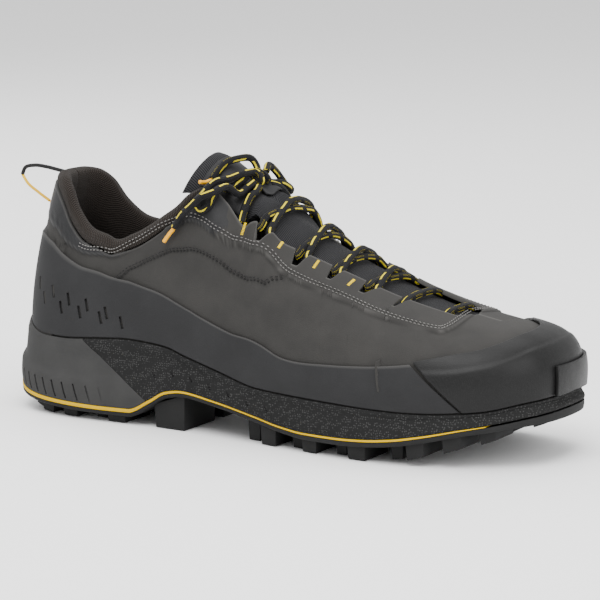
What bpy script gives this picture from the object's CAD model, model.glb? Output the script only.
"""Approach shoe for the right foot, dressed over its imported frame.

The upper, sole, tongue and trim are surfaces worked out from the last, whose sections run from
the feather line to the collar. Each sub-assembly is a class that holds its own sizes.
"""
import logging
import math
from dataclasses import dataclass
from enum import Enum
from functools import lru_cache

import bmesh
import bpy
import numpy as np
from mathutils import Matrix, Vector


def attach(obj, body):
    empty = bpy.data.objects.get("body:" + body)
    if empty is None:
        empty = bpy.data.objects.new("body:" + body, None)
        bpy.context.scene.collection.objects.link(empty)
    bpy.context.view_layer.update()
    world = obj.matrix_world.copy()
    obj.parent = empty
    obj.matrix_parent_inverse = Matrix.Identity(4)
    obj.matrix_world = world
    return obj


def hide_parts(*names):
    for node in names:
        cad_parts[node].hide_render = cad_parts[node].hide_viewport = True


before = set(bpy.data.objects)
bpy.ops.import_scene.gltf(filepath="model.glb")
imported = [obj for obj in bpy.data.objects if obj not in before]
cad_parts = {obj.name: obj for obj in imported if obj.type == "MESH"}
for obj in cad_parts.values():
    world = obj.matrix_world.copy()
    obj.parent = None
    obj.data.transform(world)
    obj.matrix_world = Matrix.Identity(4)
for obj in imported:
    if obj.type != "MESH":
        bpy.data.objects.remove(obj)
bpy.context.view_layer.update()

Array = np.ndarray
Piece = bpy.types.Object
Tree = bpy.types.NodeTree

LOG = logging.getLogger("approach_shoe")

# The heel's back on the middle line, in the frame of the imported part
HEEL_ORIGIN = np.array([-0.148707, 0.002926, 0.0])


class Side(Enum):
    """The two sides of the shoe by the sign of Y."""

    LATERAL = -1
    MEDIAL = 1


class Table:
    """Short table with named columns, read between its rows by a monotone cubic."""

    def __init__(self, names: str, rows: list) -> None:
        """Keep the rows.

        Args:
            names: Column names; the first column is the one that is looked up.
            rows: One tuple of numbers for each row.
        """
        self.names = names.split()
        self.data = np.array(rows, float)
        self.rates = {}

    def at(self, name: str, query: Array) -> Array:
        """Read a column.

        Args:
            name: The column's name.
            query: Places in the first column.

        Returns:
            The column's values there.
        """
        column = self.names.index(name)
        xs, ys = self.data[:, 0], self.data[:, column]
        if name not in self.rates:
            step = np.diff(xs)
            slope = np.diff(ys) / step
            before, after = 2 * step[1:] + step[:-1], step[1:] + 2 * step[:-1]
            turning = slope[:-1] * slope[1:] <= 0
            safe = np.where(turning, 1.0, slope[:-1]), np.where(turning, 1.0, slope[1:])
            inner = (before + after) / (before / safe[0] + after / safe[1])
            self.rates[name] = np.concatenate([slope[:1], np.where(turning, 0, inner), slope[-1:]])
        return hermite(xs, ys, self.rates[name], query)


def hermite(xs: Array, ys: Array, rate: Array, query: Array) -> Array:
    """Read a cubic through points with given rates.

    Args:
        xs: Places of the points, rising.
        ys: Values at the points.
        rate: Rates of change at the points.
        query: Places to read.

    Returns:
        Values of the cubic: each span blends its two ends and their rates.
    """
    query = np.clip(query, xs[0], xs[-1])
    i = np.clip(np.searchsorted(xs, query) - 1, 0, len(xs) - 2)
    step = xs[i + 1] - xs[i]
    s = (query - xs[i]) / step
    start = (2 * s ** 3 - 3 * s ** 2 + 1) * ys[i] + (s ** 3 - 2 * s ** 2 + s) * step * rate[i]
    return start + (3 * s ** 2 - 2 * s ** 3) * ys[i + 1] + (s ** 3 - s ** 2) * step * rate[i + 1]


def smooth(value: Array) -> Array:
    """Ease from 0 to 1 between 0 and 1."""
    value = np.clip(value, 0.0, 1.0)
    return value * value * (3 - 2 * value)


def read_rows(runs: Array, values: Array, query: Array) -> Array:
    """Read each line of samples at its own places.

    Args:
        runs: Rising places along each line, lines by samples.
        values: Values at the samples, one row for all lines or a row for each.
        query: Places to read, lines by places.

    Returns:
        Values between the two samples round each place, lines by places.
    """
    above = np.clip((runs[:, None, :] < query[:, :, None]).sum(-1), 1, runs.shape[1] - 1)
    values = np.broadcast_to(values, runs.shape)
    low, high = (np.take_along_axis(runs, above + k, 1) for k in (-1, 0))
    share = np.clip((query - low) / np.maximum(high - low, 1e-12), 0, 1)
    first, second = (np.take_along_axis(values, above + k, 1) for k in (-1, 0))
    return first + share * (second - first)


@dataclass(frozen=True)
class Last:
    """The shoe's form: every point has a turn, 0 to 2 round the shoe from the heel, and a rise.

    Turn 0 is the back of the heel, 1 the toe tip, and 0 to 1 runs along the lateral side.
    Rise 0 is the feather line and rise 1 the collar's crest or the middle line of the instep.
    """

    length: float = 0.300
    ball_width: float = 0.0925
    collar_height: float = 0.118
    collar_width: float = 0.059
    instep_height: float = 0.123
    sole_height: float = 0.046
    sole_flare: float = 0.0045
    wall: float = 0.0020
    gap: float = 0.0004
    clearance: float = 0.0003
    step: float = 1e-3

    # Shares of the length and of the ball width
    OUTLINE = Table("turn along lateral medial", [
        (0.00, 0.023, 0.000, 0.000), (0.06, 0.032, 0.146, 0.146), (0.14, 0.066, 0.270, 0.265),
        (0.24, 0.145, 0.335, 0.324), (0.34, 0.255, 0.351, 0.324), (0.44, 0.380, 0.373, 0.297),
        (0.54, 0.515, 0.438, 0.319), (0.64, 0.645, 0.508, 0.411), (0.73, 0.750, 0.535, 0.465),
        (0.81, 0.835, 0.503, 0.465), (0.88, 0.901, 0.414, 0.408), (0.94, 0.949, 0.281, 0.300),
        (0.98, 0.972, 0.119, 0.165), (1.00, 0.976, -0.026, 0.026),
    ])
    # Shares of the length, the collar width, the collar height and the instep height
    EDGE = Table("turn along half heel instep", [
        (0.000, 0.073, 0.000, 1.000, 0.000), (0.050, 0.077, 0.144, 1.000, 0.000),
        (0.100, 0.093, 0.288, 0.987, 0.000), (0.150, 0.115, 0.380, 0.941, 0.000),
        (0.200, 0.138, 0.430, 0.856, 0.000), (0.250, 0.170, 0.472, 0.790, 0.000),
        (0.300, 0.213, 0.497, 0.760, 0.000), (0.350, 0.258, 0.497, 0.560, 0.220),
        (0.400, 0.310, 0.490, 0.300, 0.547), (0.440, 0.348, 0.478, 0.000, 0.907),
        (0.475, 0.385, 0.449, 0.000, 0.963), (0.500, 0.405, 0.305, 0.000, 0.988),
        (0.530, 0.420, 0.000, 0.000, 1.000), (0.580, 0.480, 0.000, 0.000, 0.898),
        (0.630, 0.550, 0.000, 0.000, 0.789), (0.680, 0.630, 0.000, 0.000, 0.687),
        (0.730, 0.710, 0.000, 0.000, 0.602), (0.780, 0.780, 0.000, 0.000, 0.549),
        (0.830, 0.830, 0.000, 0.000, 0.519), (0.880, 0.868, 0.000, 0.000, 0.502),
        (1.000, 0.868, 0.000, 0.000, 0.502),
    ])
    # Where the middle line's slope is taken up and given up, and the fall that it ends on
    SLOPE_IN = (0.553, 0.588)
    SLOPE_OUT = (0.850, 0.875)
    SLOPE_END = 0.879
    TOE_SLOPE = 0.10
    # Degrees at the feather line and at the edge, then the two reaches
    BULGE = Table("turn lean edge low high", [
        (0.00, -1, 70, 0.40, 0.35), (0.10, 2, 76, 0.40, 0.35), (0.20, 8, 82, 0.40, 0.35),
        (0.32, 10, 82, 0.40, 0.35), (0.42, 10, 66, 0.42, 0.35), (0.50, 10, 40, 0.44, 0.30),
        (0.55, 11, 8, 0.46, 0.30), (0.62, 13, 2, 0.48, 0.38), (0.70, 15, 0, 0.50, 0.48),
        (0.78, 16, 0, 0.50, 0.54), (0.88, 14, 0, 0.53, 0.58), (1.00, 6, 0, 0.60, 0.62),
    ])
    # Shares of the sole height, then of the accent's and the plate's thickness
    SOLE = Table("turn footbed rim line tread accent plate", [
        (0.00, 0.652, 1.000, 0.337, 0.109, 1.00, 1.00), (0.06, 0.646, 0.978, 0.274, 0.080, 1.00, 0.95),
        (0.12, 0.634, 0.891, 0.213, 0.042, 1.00, 0.90), (0.18, 0.625, 0.839, 0.176, 0.010, 1.00, 0.90),
        (0.22, 0.622, 0.837, 0.162, 0.000, 1.00, 0.90), (0.30, 0.596, 0.880, 0.146, 0.000, 1.00, 0.80),
        (0.345, 0.574, 0.900, 0.150, 0.000, 1.00, 0.75), (0.38, 0.555, 0.887, 0.278, 0.000, 0.90, 0.75),
        (0.405, 0.541, 0.864, 0.391, 0.000, 0.75, 0.75), (0.43, 0.522, 0.800, 0.424, 0.000, 0.60, 0.75),
        (0.48, 0.478, 0.687, 0.374, 0.000, 0.45, 0.75), (0.54, 0.435, 0.565, 0.287, 0.000, 0.40, 0.80),
        (0.58, 0.411, 0.551, 0.226, 0.000, 0.45, 0.85), (0.615, 0.396, 0.546, 0.200, 0.000, 0.50, 0.90),
        (0.66, 0.388, 0.540, 0.202, 0.000, 0.55, 0.90), (0.70, 0.389, 0.533, 0.217, 0.000, 0.60, 0.90),
        (0.75, 0.400, 0.530, 0.260, 0.033, 0.60, 0.90), (0.79, 0.420, 0.535, 0.315, 0.098, 0.50, 0.90),
        (0.85, 0.472, 0.560, 0.405, 0.209, 0.35, 0.90), (0.88, 0.500, 0.578, 0.440, 0.261, 0.25, 1.00),
        (0.94, 0.560, 0.648, 0.510, 0.370, 0.20, 1.30), (1.00, 0.600, 0.690, 0.560, 0.470, 0.20, 1.70),
    ])

    @lru_cache
    def knots(self) -> tuple:
        """Knots of the closed feather line, with the rates that make its curvature continuous.

        Returns:
            The knots' turns, then pairs of values and rates along and across the shoe.
        """
        rows = self.OUTLINE.data
        back = rows[-2:0:-1]
        turns = np.concatenate([rows[:, 0], 2 - back[:, 0]])
        along = np.concatenate([rows[:, 1], back[:, 1]]) * self.length
        across = np.concatenate([-rows[:, 2], back[:, 3]]) * self.ball_width
        count = len(turns)
        step = np.diff(np.append(turns, turns[0] + 2.0))
        before = np.roll(step, 1)
        system = np.diag(2 / before + 2 / step)
        system[np.arange(count), np.arange(count) - 1] += 1 / before
        system[np.arange(count), (np.arange(count) + 1) % count] += 1 / step
        pairs = []
        for values in (along, across):
            slope = np.diff(np.append(values, values[0])) / step
            rate = np.linalg.solve(system, 3 * (np.roll(slope, 1) / before + slope / step))
            pairs.append((np.append(values, values[0]), np.append(rate, rate[0])))
        return np.append(turns, turns[0] + 2.0), pairs

    def plan(self, turn: Array) -> tuple:
        """Feather line in plan: x and y at each turn."""
        turns, ((along, along_rate), (across, across_rate)) = self.knots()
        turn = np.mod(turn, 2.0)
        return hermite(turns, along, along_rate, turn), hermite(turns, across, across_rate, turn)

    def outline(self, turn: Array, grow: Array = 0.0) -> tuple:
        """Feather line grown outwards.

        Args:
            turn: Turns to read.
            grow: Distance outwards.

        Returns:
            x, y and the outward direction's x and y.
        """
        turn = np.asarray(turn, float)
        x, y = self.plan(turn)
        ahead, behind = self.plan(turn + self.step), self.plan(turn - self.step)
        dx, dy = ahead[0] - behind[0], ahead[1] - behind[1]
        size = np.hypot(dx, dy)
        nx, ny = dy / size, -dx / size
        return x + grow * nx, y + grow * ny, nx, ny

    @staticmethod
    def fold(turn: Array) -> Array:
        """Distance from the heel as 0 to 1, the same on both sides."""
        turn = np.asarray(turn, float)
        return np.where(turn > 1, 2 - turn, turn)

    def edge(self, turn: Array) -> Array:
        """Crest of the collar, then the middle line of the instep, as points."""
        t = self.fold(turn)
        y = np.where(np.asarray(turn) > 1, 1.0, -1.0) * self.EDGE.at("half", t) * self.collar_width
        z = self.EDGE.at("heel", t) * self.collar_height + self.EDGE.at("instep", t) * self.instep_height
        return np.stack([self.EDGE.at("along", t) * self.length, y, z], -1)

    @lru_cache
    def flare_line(self) -> tuple:
        """Turns of the lateral side and where its flared sole edge lies along the shoe."""
        turns = np.linspace(0, 1, 801)
        return turns, np.maximum.accumulate(self.outline(turns, self.sole_flare)[0])

    def sole(self, name: str, x: Array) -> Array:
        """Column of the sole table at a place along the shoe."""
        turns, places = self.flare_line()
        return self.SOLE.at(name, np.interp(x, places, turns))

    def layer(self, name: str, x: Array) -> Array:
        """Height of a layer of the sole, level across the shoe."""
        return self.sole(name, x) * self.sole_height

    def rim(self, turn: Array) -> Array:
        """Height of the sole's rim."""
        return self.SOLE.at("rim", self.fold(turn)) * self.sole_height

    def form(self, turn: Array, rise: Array) -> Array:
        """The upper's face: each section is a cubic Bezier from the feather line to the edge.

        Args:
            turn: Turns of the points.
            rise: Rises of the points.

        Returns:
            Points in metres from the heel's back.
        """
        turn, rise = np.broadcast_arrays(np.asarray(turn, float), np.asarray(rise, float))
        t = self.fold(turn)
        x, y, nx, ny = self.outline(turn)
        base = np.stack([x, y, self.layer("footbed", x) + self.clearance], -1)
        top = self.edge(turn)
        reach = np.linalg.norm(top - base, axis=-1)[..., None]
        lean, tilt = (np.radians(self.BULGE.at(name, t))[..., None] for name in ("lean", "edge"))
        out = np.stack([nx, ny, np.zeros_like(nx)], -1)
        up = np.array([0.0, 0.0, 1.0])
        flat = (base - top) * np.array([1.0, 1.0, 0.0])
        flat = flat / np.maximum(np.linalg.norm(flat, axis=-1)[..., None], 1e-9)
        ahead = self.edge(np.minimum(t + self.step, self.SLOPE_END))
        behind = self.edge(np.minimum(t, self.SLOPE_END - self.step) - self.step)
        slope = (ahead[..., 2] - behind[..., 2]) / np.maximum(ahead[..., 0] - behind[..., 0], 1e-6)
        starts, ends = (smooth((t - first) / (last - first))
                        for first, last in (self.SLOPE_IN, self.SLOPE_OUT))
        slope = slope * starts
        slope = (slope - (self.TOE_SLOPE + slope) * ends)[..., None]
        low = base + self.BULGE.at("low", t)[..., None] * reach * (np.sin(lean) * out + np.cos(lean) * up)
        fall = np.cos(tilt) * slope * flat[..., :1] - np.sin(tilt)
        high = top + self.BULGE.at("high", t)[..., None] * reach * (np.cos(tilt) * flat + fall * up)
        v = rise[..., None]
        return (1 - v) ** 3 * base + 3 * (1 - v) ** 2 * v * low + 3 * (1 - v) * v * v * high + v ** 3 * top

    def normal(self, turn: Array, rise: Array) -> Array:
        """Outward direction of the form, from its changes with turn and with rise."""
        turn, rise = np.broadcast_arrays(np.asarray(turn, float), np.asarray(rise, float))
        rise = np.clip(rise, 0.0, 0.999)
        around = self.form(turn + self.step, rise) - self.form(turn - self.step, rise)
        up = self.form(turn, rise + self.step) - self.form(turn, np.maximum(rise - self.step, 0))
        normal = np.cross(around, up)
        return normal / np.maximum(np.linalg.norm(normal, axis=-1), 1e-12)[..., None]

    def face(self, turn: Array, rise: Array, out: Array = 0.0) -> Array:
        """Points of the form moved out along their own normals."""
        turn, rise = np.broadcast_arrays(np.asarray(turn, float), np.asarray(rise, float))
        out = np.broadcast_to(np.asarray(out, float), turn.shape)[..., None]
        return self.form(turn, rise) + out * self.normal(turn, rise)

    def rise_at_height(self, turn: Array, height: Array) -> Array:
        """Rise where each section first reaches a height, one height for each turn."""
        samples = np.linspace(0, 1, 81)
        lines = np.maximum.accumulate(self.form(turn[:, None], samples)[..., 2], axis=1)
        lines = lines + np.arange(81) * 1e-9
        return read_rows(lines, samples, np.asarray(height)[:, None])[:, 0]

    def depth_runs(self, turn: Array) -> tuple:
        """Sampled rises from the edge down, and each section's arc distances to them."""
        samples = np.linspace(1, 0, 141)
        steps = np.linalg.norm(np.diff(self.form(turn[:, None], samples), axis=1), axis=-1)
        runs = np.concatenate([np.zeros((len(turn), 1)), np.cumsum(steps, axis=1)], axis=1)
        return samples, runs + np.arange(141) * 1e-9

    def rise_at_depth(self, turn: Array, depth: Array) -> Array:
        """Rise at arc distances below the edge.

        Args:
            turn: One turn for each section.
            depth: Distances, sections by places.

        Returns:
            Rises, sections by places.
        """
        samples, runs = self.depth_runs(turn)
        return read_rows(runs, samples, depth)


LAST = Last()


# Meshes

def put(name: str, mesh: bpy.types.Mesh, slot: str, *nodes: str) -> Piece:
    """Make a piece that rides on the shoe.

    Args:
        name: The piece's name.
        mesh: Its mesh, in the part's frame.
        slot: The material slot that it takes its finish from.
        nodes: The solids that it stands for.

    Returns:
        The piece.
    """
    piece = bpy.data.objects.new(name, mesh)
    bpy.context.scene.collection.objects.link(piece)
    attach(piece, "root")
    if nodes:
        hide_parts(*nodes)
    return piece


def mesh_of(name: str, points: Array, faces: Array, uv: Array = None,
            values: dict = None, merge: float = 0.0, more: list = ()) -> bpy.types.Mesh:
    """Mesh of points and faces, with smooth faces turned outwards.

    Args:
        name: The mesh's name.
        points: Points in metres from the heel's back.
        faces: Quads or triangles as rows of indices.
        uv: A place on the surface for each point, in metres.
        values: Named numbers for each point that materials read.
        merge: Distance under which points become one.
        more: Further faces of any count of corners.

    Returns:
        The mesh.
    """
    mesh = bpy.data.meshes.new(name)
    mesh.from_pydata((points + HEEL_ORIGIN).tolist(), [], faces.tolist() + [list(f) for f in more])
    if uv is not None:
        corners = np.empty(len(mesh.loops), np.int32)
        mesh.loops.foreach_get("vertex_index", corners)
        mesh.uv_layers.new(name="run").data.foreach_set("uv", uv[corners].astype(np.float32).ravel())
    for key, numbers in (values or {}).items():
        layer = mesh.attributes.new(key, "FLOAT", "POINT")
        layer.data.foreach_set("value", np.ascontiguousarray(numbers, np.float32).ravel())
    work = bmesh.new()
    work.from_mesh(mesh)
    if merge:
        bmesh.ops.remove_doubles(work, verts=work.verts, dist=merge)
        bmesh.ops.dissolve_degenerate(work, dist=merge / 4, edges=work.edges)
    bmesh.ops.recalc_face_normals(work, faces=work.faces)
    work.to_mesh(mesh)
    work.free()
    mesh.polygons.foreach_set("use_smooth", np.ones(len(mesh.polygons), bool))
    return mesh


def grid_faces(rows: int, columns: int, closed: bool = False, start: int = 0) -> Array:
    """Quads of a grid of points, row after row, closed round its rows if asked."""
    last = columns if closed else columns - 1
    i, j = np.meshgrid(np.arange(rows - 1), np.arange(last), indexing="ij")
    right = (j + 1) % columns
    quads = [i * columns + j, i * columns + right, (i + 1) * columns + right, (i + 1) * columns + j]
    return np.stack(quads, -1).reshape(-1, 4) + start


def grid_uv(points: Array) -> Array:
    """Distances along and down a grid, in metres, from its middle row and its own columns."""
    along = run_along(points[len(points) // 2])
    down = np.cumsum(np.linalg.norm(np.diff(points, axis=0, prepend=points[:1]), axis=-1), axis=0)
    return np.stack([np.broadcast_to(along, down.shape), down], -1).reshape(-1, 2)


def grid_mesh(name: str, points: Array, closed: bool = False, values: dict = None,
              merge: float = 0.0, ends: bool = False) -> bpy.types.Mesh:
    """Mesh of a two-parameter grid of points.

    Args:
        name: The mesh's name.
        points: Rows by columns by three.
        closed: Whether each row is a ring.
        values: Named numbers for each point.
        merge: Distance under which points become one.
        ends: Whether the first and last ring are filled.

    Returns:
        The mesh.
    """
    rows, columns = points.shape[:2]
    more = []
    if ends:
        last = (rows - 1) * columns
        more = [range(columns), range(last + columns - 1, last - 1, -1)]
    return mesh_of(name, points.reshape(-1, 3), grid_faces(rows, columns, closed), grid_uv(points),
                   values, merge, more)


def stack_mesh(name: str, rings: Array) -> bpy.types.Mesh:
    """Closed body from rings, with strips across the first and the last from side to side."""
    rows, columns = rings.shape[:2]
    i = np.arange(columns // 2 - 1)
    strip = np.stack([i, i + 1, columns - 2 - i, columns - 1 - i], -1)
    faces = np.concatenate([grid_faces(rows, columns, True), strip, (strip + (rows - 1) * columns)[:, ::-1]])
    return mesh_of(name, rings.reshape(-1, 3), faces, grid_uv(rings), merge=1e-6)


def bake(piece: Piece, sharp: float = 0.0) -> Piece:
    """Apply a piece's modifiers to its mesh.

    Args:
        piece: The piece.
        sharp: Angle in degrees past which an edge stays sharp, or 0 for none.

    Returns:
        The piece with its finished mesh.
    """
    bpy.context.view_layer.update()
    graph = bpy.context.evaluated_depsgraph_get()
    mesh = bpy.data.meshes.new_from_object(piece.evaluated_get(graph), depsgraph=graph)
    piece.modifiers.clear()
    piece.data = mesh
    if sharp:
        mesh.set_sharp_from_angle(angle=math.radians(sharp))
    return piece


def thicken(piece: Piece, wall: float, rim: float = 0.0) -> Piece:
    """Give a sheet a wall on its inner side, with a small bevel round its rim."""
    solid = piece.modifiers.new("wall", "SOLIDIFY")
    solid.thickness = wall
    solid.offset = -1.0
    solid.use_even_offset = False
    solid.use_quality_normals = True
    if rim:
        round_edge(piece, rim)
    return bake(piece, 50)


def round_edge(piece: Piece, size: float, angle: float = 55.0) -> None:
    """Bevel the edges of a piece that are sharper than an angle."""
    bevel = piece.modifiers.new("edge", "BEVEL")
    bevel.width = size
    bevel.segments = 2
    bevel.limit_method = "ANGLE"
    bevel.angle_limit = math.radians(angle)
    bevel.harden_normals = False


def close(work: bmesh.types.BMesh, name: str) -> bpy.types.Mesh:
    """Write a working mesh to a new mesh and free it."""
    mesh = bpy.data.meshes.new(name)
    work.to_mesh(mesh)
    work.free()
    return mesh


def subtract(piece: Piece, meshes: list) -> None:
    """Cut a list of closed meshes out of a piece."""
    work = bmesh.new()
    for mesh in meshes:
        work.from_mesh(mesh)
    tool = bpy.data.objects.new("tool", close(work, "tool"))
    bpy.context.scene.collection.objects.link(tool)
    step = piece.modifiers.new("cut", "BOOLEAN")
    step.operation = "DIFFERENCE"
    step.solver = "EXACT"
    step.object = tool
    bake(piece, 40)
    bpy.data.objects.remove(tool)


def box_mesh(size: tuple, matrix: Matrix) -> bpy.types.Mesh:
    """Box of a size placed by a matrix given from the heel's back."""
    work = bmesh.new()
    whole = Matrix.Translation(HEEL_ORIGIN) @ matrix @ Matrix.Diagonal((*size, 1.0))
    bmesh.ops.create_cube(work, size=1.0, matrix=whole)
    return close(work, "box")


def run_along(points: Array) -> Array:
    """Distance along a line from its first point to each of its points."""
    return np.concatenate([[0], np.cumsum(np.linalg.norm(np.diff(points, axis=0), axis=1))])


def read_curve(points: Array, run: Array, query: Array) -> Array:
    """Read a smooth curve through rows of numbers.

    Args:
        points: One row of numbers, in any shape, for each place.
        run: The places, rising.
        query: Places to read.

    Returns:
        The rows at those places.
    """
    flat = points.reshape(len(points), -1)
    rate = np.gradient(flat, run, axis=0)
    read = np.stack([hermite(run, flat[:, k], rate[:, k], query) for k in range(flat.shape[1])], -1)
    return read.reshape(len(query), *points.shape[1:])


def resample(points: Array, pitch: float) -> Array:
    """Points at equal steps along a smooth curve through the given ones.

    Args:
        points: The curve's own points, any count of numbers each.
        pitch: Distance between two points of the result.

    Returns:
        The new points.
    """
    points = np.asarray(points, float)
    run = run_along(points)
    count = max(int(round(run[-1] / pitch)), 1) + 1
    return read_curve(points, run, np.linspace(0, run[-1], count))


def tube_points(path: Array, radius: Array, sides: int = 10) -> Array:
    """Rings round a path, carried along it without twist.

    Args:
        path: Points of the middle line.
        radius: Radius at each point, or one for all.
        sides: Points in a ring.

    Returns:
        Rings by sides by three.
    """
    way = np.gradient(path, axis=0)
    way /= np.linalg.norm(way, axis=1)[:, None]
    side = np.cross(way[0], [0.0, 0.0, 1.0])
    side = side if np.linalg.norm(side) > 0.1 else np.cross(way[0], [0.0, 1.0, 0.0])
    frames = []
    for direction in way:
        side = side - direction * np.dot(side, direction)
        side /= np.linalg.norm(side)
        frames.append(side)
    first = np.array(frames)
    second = np.cross(way, first)
    angle = np.arange(sides) * 2 * math.pi / sides
    radius = np.broadcast_to(radius, len(path))[:, None, None]
    ring = np.cos(angle)[None, :, None] * first[:, None] + np.sin(angle)[None, :, None] * second[:, None]
    return path[:, None] + radius * ring


# Materials

WORN_TONE = (0.11, 0.107, 0.102)
GROOVE_TONE = (0.25, 0.25, 0.25)

# The lace's marker: distances from line to line round it and from dash to dash along it, then the
# levels of their two waves past which the marker shows
DASH_LINES = 0.00597
DASH_PITCH = 0.0105
DASH_START = -0.40
DASH_EDGE = 0.88


@dataclass(frozen=True)
class Finish:
    """Looks of one material.

    Colours are linear; sizes are in metres; depths are the heights that the bump stands for.
    """

    name: str
    colour: tuple
    second: tuple
    roughness: float = 0.8
    coat: float = 0.0
    sheen: float = 0.0
    specular: float = 0.12
    grain: str = "Grain"
    scale: float = 0.0012
    depth: float = 0.0001
    blotch: float = 0.02
    edge: float = 0.0


def socket(group: Tree, name: str, kind: str, output: bool, value: float = None) -> None:
    """Add a named input or output to a node group."""
    made = group.interface.new_socket(name=name, in_out="OUTPUT" if output else "INPUT",
                                      socket_type="NodeSocket" + kind)
    if value is not None:
        made.default_value = value


def node(tree: Tree, kind: str, values: dict = None, **settings) -> bpy.types.Node:
    """Add a shader node.

    Args:
        tree: The tree that it goes into.
        kind: The node's type without its prefix.
        values: Input names with a number, a colour or another node's output.
        settings: Attributes of the node.

    Returns:
        The node.
    """
    made = tree.nodes.new("ShaderNode" + kind)
    for key, value in settings.items():
        setattr(made, key, value)
    for key, value in (values or {}).items():
        if isinstance(value, bpy.types.NodeSocket):
            tree.links.new(value, made.inputs[key])
        else:
            made.inputs[key].default_value = value
    return made


def math_node(tree: Tree, operation: str, first: object, second: object = 0.0) -> object:
    """Join two values by an operation and give the result's socket."""
    return node(tree, "Math", {0: first, 1: second}, operation=operation).outputs[0]


def mix_colours(tree: Tree, factor: object, first: object, second: object,
                blend: str = "MIX") -> object:
    """Blend two colours, each a tuple or a socket, and give the result's socket."""
    return node(tree, "Mix", {0: factor, 6: first, 7: second}, data_type="RGBA", blend_type=blend).outputs[2]


def new_group(name: str, inputs: dict, outputs: tuple) -> tuple:
    """Start a node group with number inputs and outputs.

    Args:
        name: The group's name.
        inputs: Input names with their usual values.
        outputs: Output names.

    Returns:
        The group, its input node and its output node.
    """
    group = bpy.data.node_groups.new(name, "ShaderNodeTree")
    for key, value in inputs.items():
        socket(group, key, "Float", False, value)
    for key in outputs:
        socket(group, key, "Float", True)
    return group, group.nodes.new("NodeGroupInput"), group.nodes.new("NodeGroupOutput")


def make_grain() -> None:
    """Leather or nubuck: small rounded cells broken by finer noise."""
    group, start, end = new_group("Grain", {"Scale": 800.0, "Fine": 0.5}, ("Height", "Shade"))
    place = node(group, "TexCoord").outputs["Object"]
    cells = node(group, "TexVoronoi", {"Vector": place, "Scale": start.outputs["Scale"]})
    noise = node(group, "TexNoise", {"Vector": place, "Detail": 3.0,
                                     "Scale": math_node(group, "MULTIPLY", start.outputs["Scale"], 2.3)})
    fine = math_node(group, "MULTIPLY", noise.outputs["Fac"], start.outputs["Fine"])
    height = math_node(group, "SUBTRACT", fine, math_node(group, "MULTIPLY", cells.outputs["Distance"], 0.6))
    group.links.new(height, end.inputs["Height"])
    group.links.new(noise.outputs["Fac"], end.inputs["Shade"])


def make_ribs() -> None:
    """Knit or ribbed textile: rounded ribs along the surface's own run, with stitches across them."""
    group, start, end = new_group("Ribs", {"Scale": 1000.0, "Fine": 0.4}, ("Height", "Shade"))
    place = node(group, "UVMap", uv_map="run").outputs["UV"]
    parts = node(group, "SeparateXYZ", {"Vector": place})
    turns = math_node(group, "MULTIPLY", start.outputs["Scale"], 2 * math.pi)
    skew = math_node(group, "MULTIPLY_ADD", parts.outputs["Y"], 0.35)
    group.links.new(parts.outputs["X"], skew.node.inputs[2])
    ribs = math_node(group, "SINE", math_node(group, "MULTIPLY", skew, turns))
    cross = math_node(group, "SINE", math_node(group, "MULTIPLY", parts.outputs["Y"],
                                               math_node(group, "MULTIPLY", turns, 1.3)))
    rounded = math_node(group, "MULTIPLY_ADD", ribs, 0.5)
    rounded.node.inputs[2].default_value = 0.5
    fine = math_node(group, "MULTIPLY", cross, start.outputs["Fine"])
    height = math_node(group, "MULTIPLY_ADD", fine, rounded)
    group.links.new(rounded, height.node.inputs[2])
    group.links.new(height, end.inputs["Height"])
    group.links.new(rounded, end.inputs["Shade"])


def make_dots() -> None:
    """Moulded foam or rubber: small raised dots with a fine cast noise."""
    group, start, end = new_group("Dots", {"Scale": 900.0, "Fine": 0.5}, ("Height", "Shade"))
    place = node(group, "TexCoord").outputs["Object"]
    cells = node(group, "TexVoronoi", {"Vector": place, "Scale": start.outputs["Scale"], "Randomness": 0.55})
    noise = node(group, "TexNoise", {"Vector": place, "Detail": 4.0,
                                     "Scale": math_node(group, "MULTIPLY", start.outputs["Scale"], 3.0)})
    falloff = {"Value": cells.outputs["Distance"], "From Min": 0.18, "From Max": 0.42,
               "To Min": 1.0, "To Max": 0.0}
    round_top = node(group, "MapRange", falloff, interpolation_type="SMOOTHSTEP")
    fine = math_node(group, "MULTIPLY", noise.outputs["Fac"], start.outputs["Fine"])
    group.links.new(math_node(group, "ADD", round_top.outputs[0], fine), end.inputs["Height"])
    group.links.new(round_top.outputs[0], end.inputs["Shade"])


def make_braid() -> None:
    """Round cord: two sets of strands that cross at a slant; Shade is 1 on the marker dashes.

    Fine is one over the distance between two lines of dashes, round the cord.
    """
    group, start, end = new_group("Braid", {"Scale": 700.0, "Fine": 0.5}, ("Height", "Shade"))
    place = node(group, "UVMap", uv_map="run").outputs["UV"]
    parts = node(group, "SeparateXYZ", {"Vector": place})
    around, along = parts.outputs["X"], parts.outputs["Y"]
    turns = math_node(group, "MULTIPLY", start.outputs["Scale"], 2 * math.pi)
    waves = []
    for operation in ("ADD", "SUBTRACT"):
        slanted = math_node(group, operation, along, around)
        waves.append(math_node(group, "SINE", math_node(group, "MULTIPLY", slanted, turns)))
    group.links.new(math_node(group, "MULTIPLY", waves[0], waves[1]), end.inputs["Height"])
    beat = math_node(group, "SINE", math_node(group, "MULTIPLY", along, 2 * math.pi / DASH_PITCH))
    spacing = math_node(group, "MULTIPLY", start.outputs["Fine"], 2 * math.pi)
    line = math_node(group, "SINE", math_node(group, "MULTIPLY", around, spacing))
    both = math_node(group, "MULTIPLY", math_node(group, "GREATER_THAN", beat, DASH_START),
                     math_node(group, "GREATER_THAN", line, DASH_EDGE))
    group.links.new(both, end.inputs["Shade"])


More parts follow.
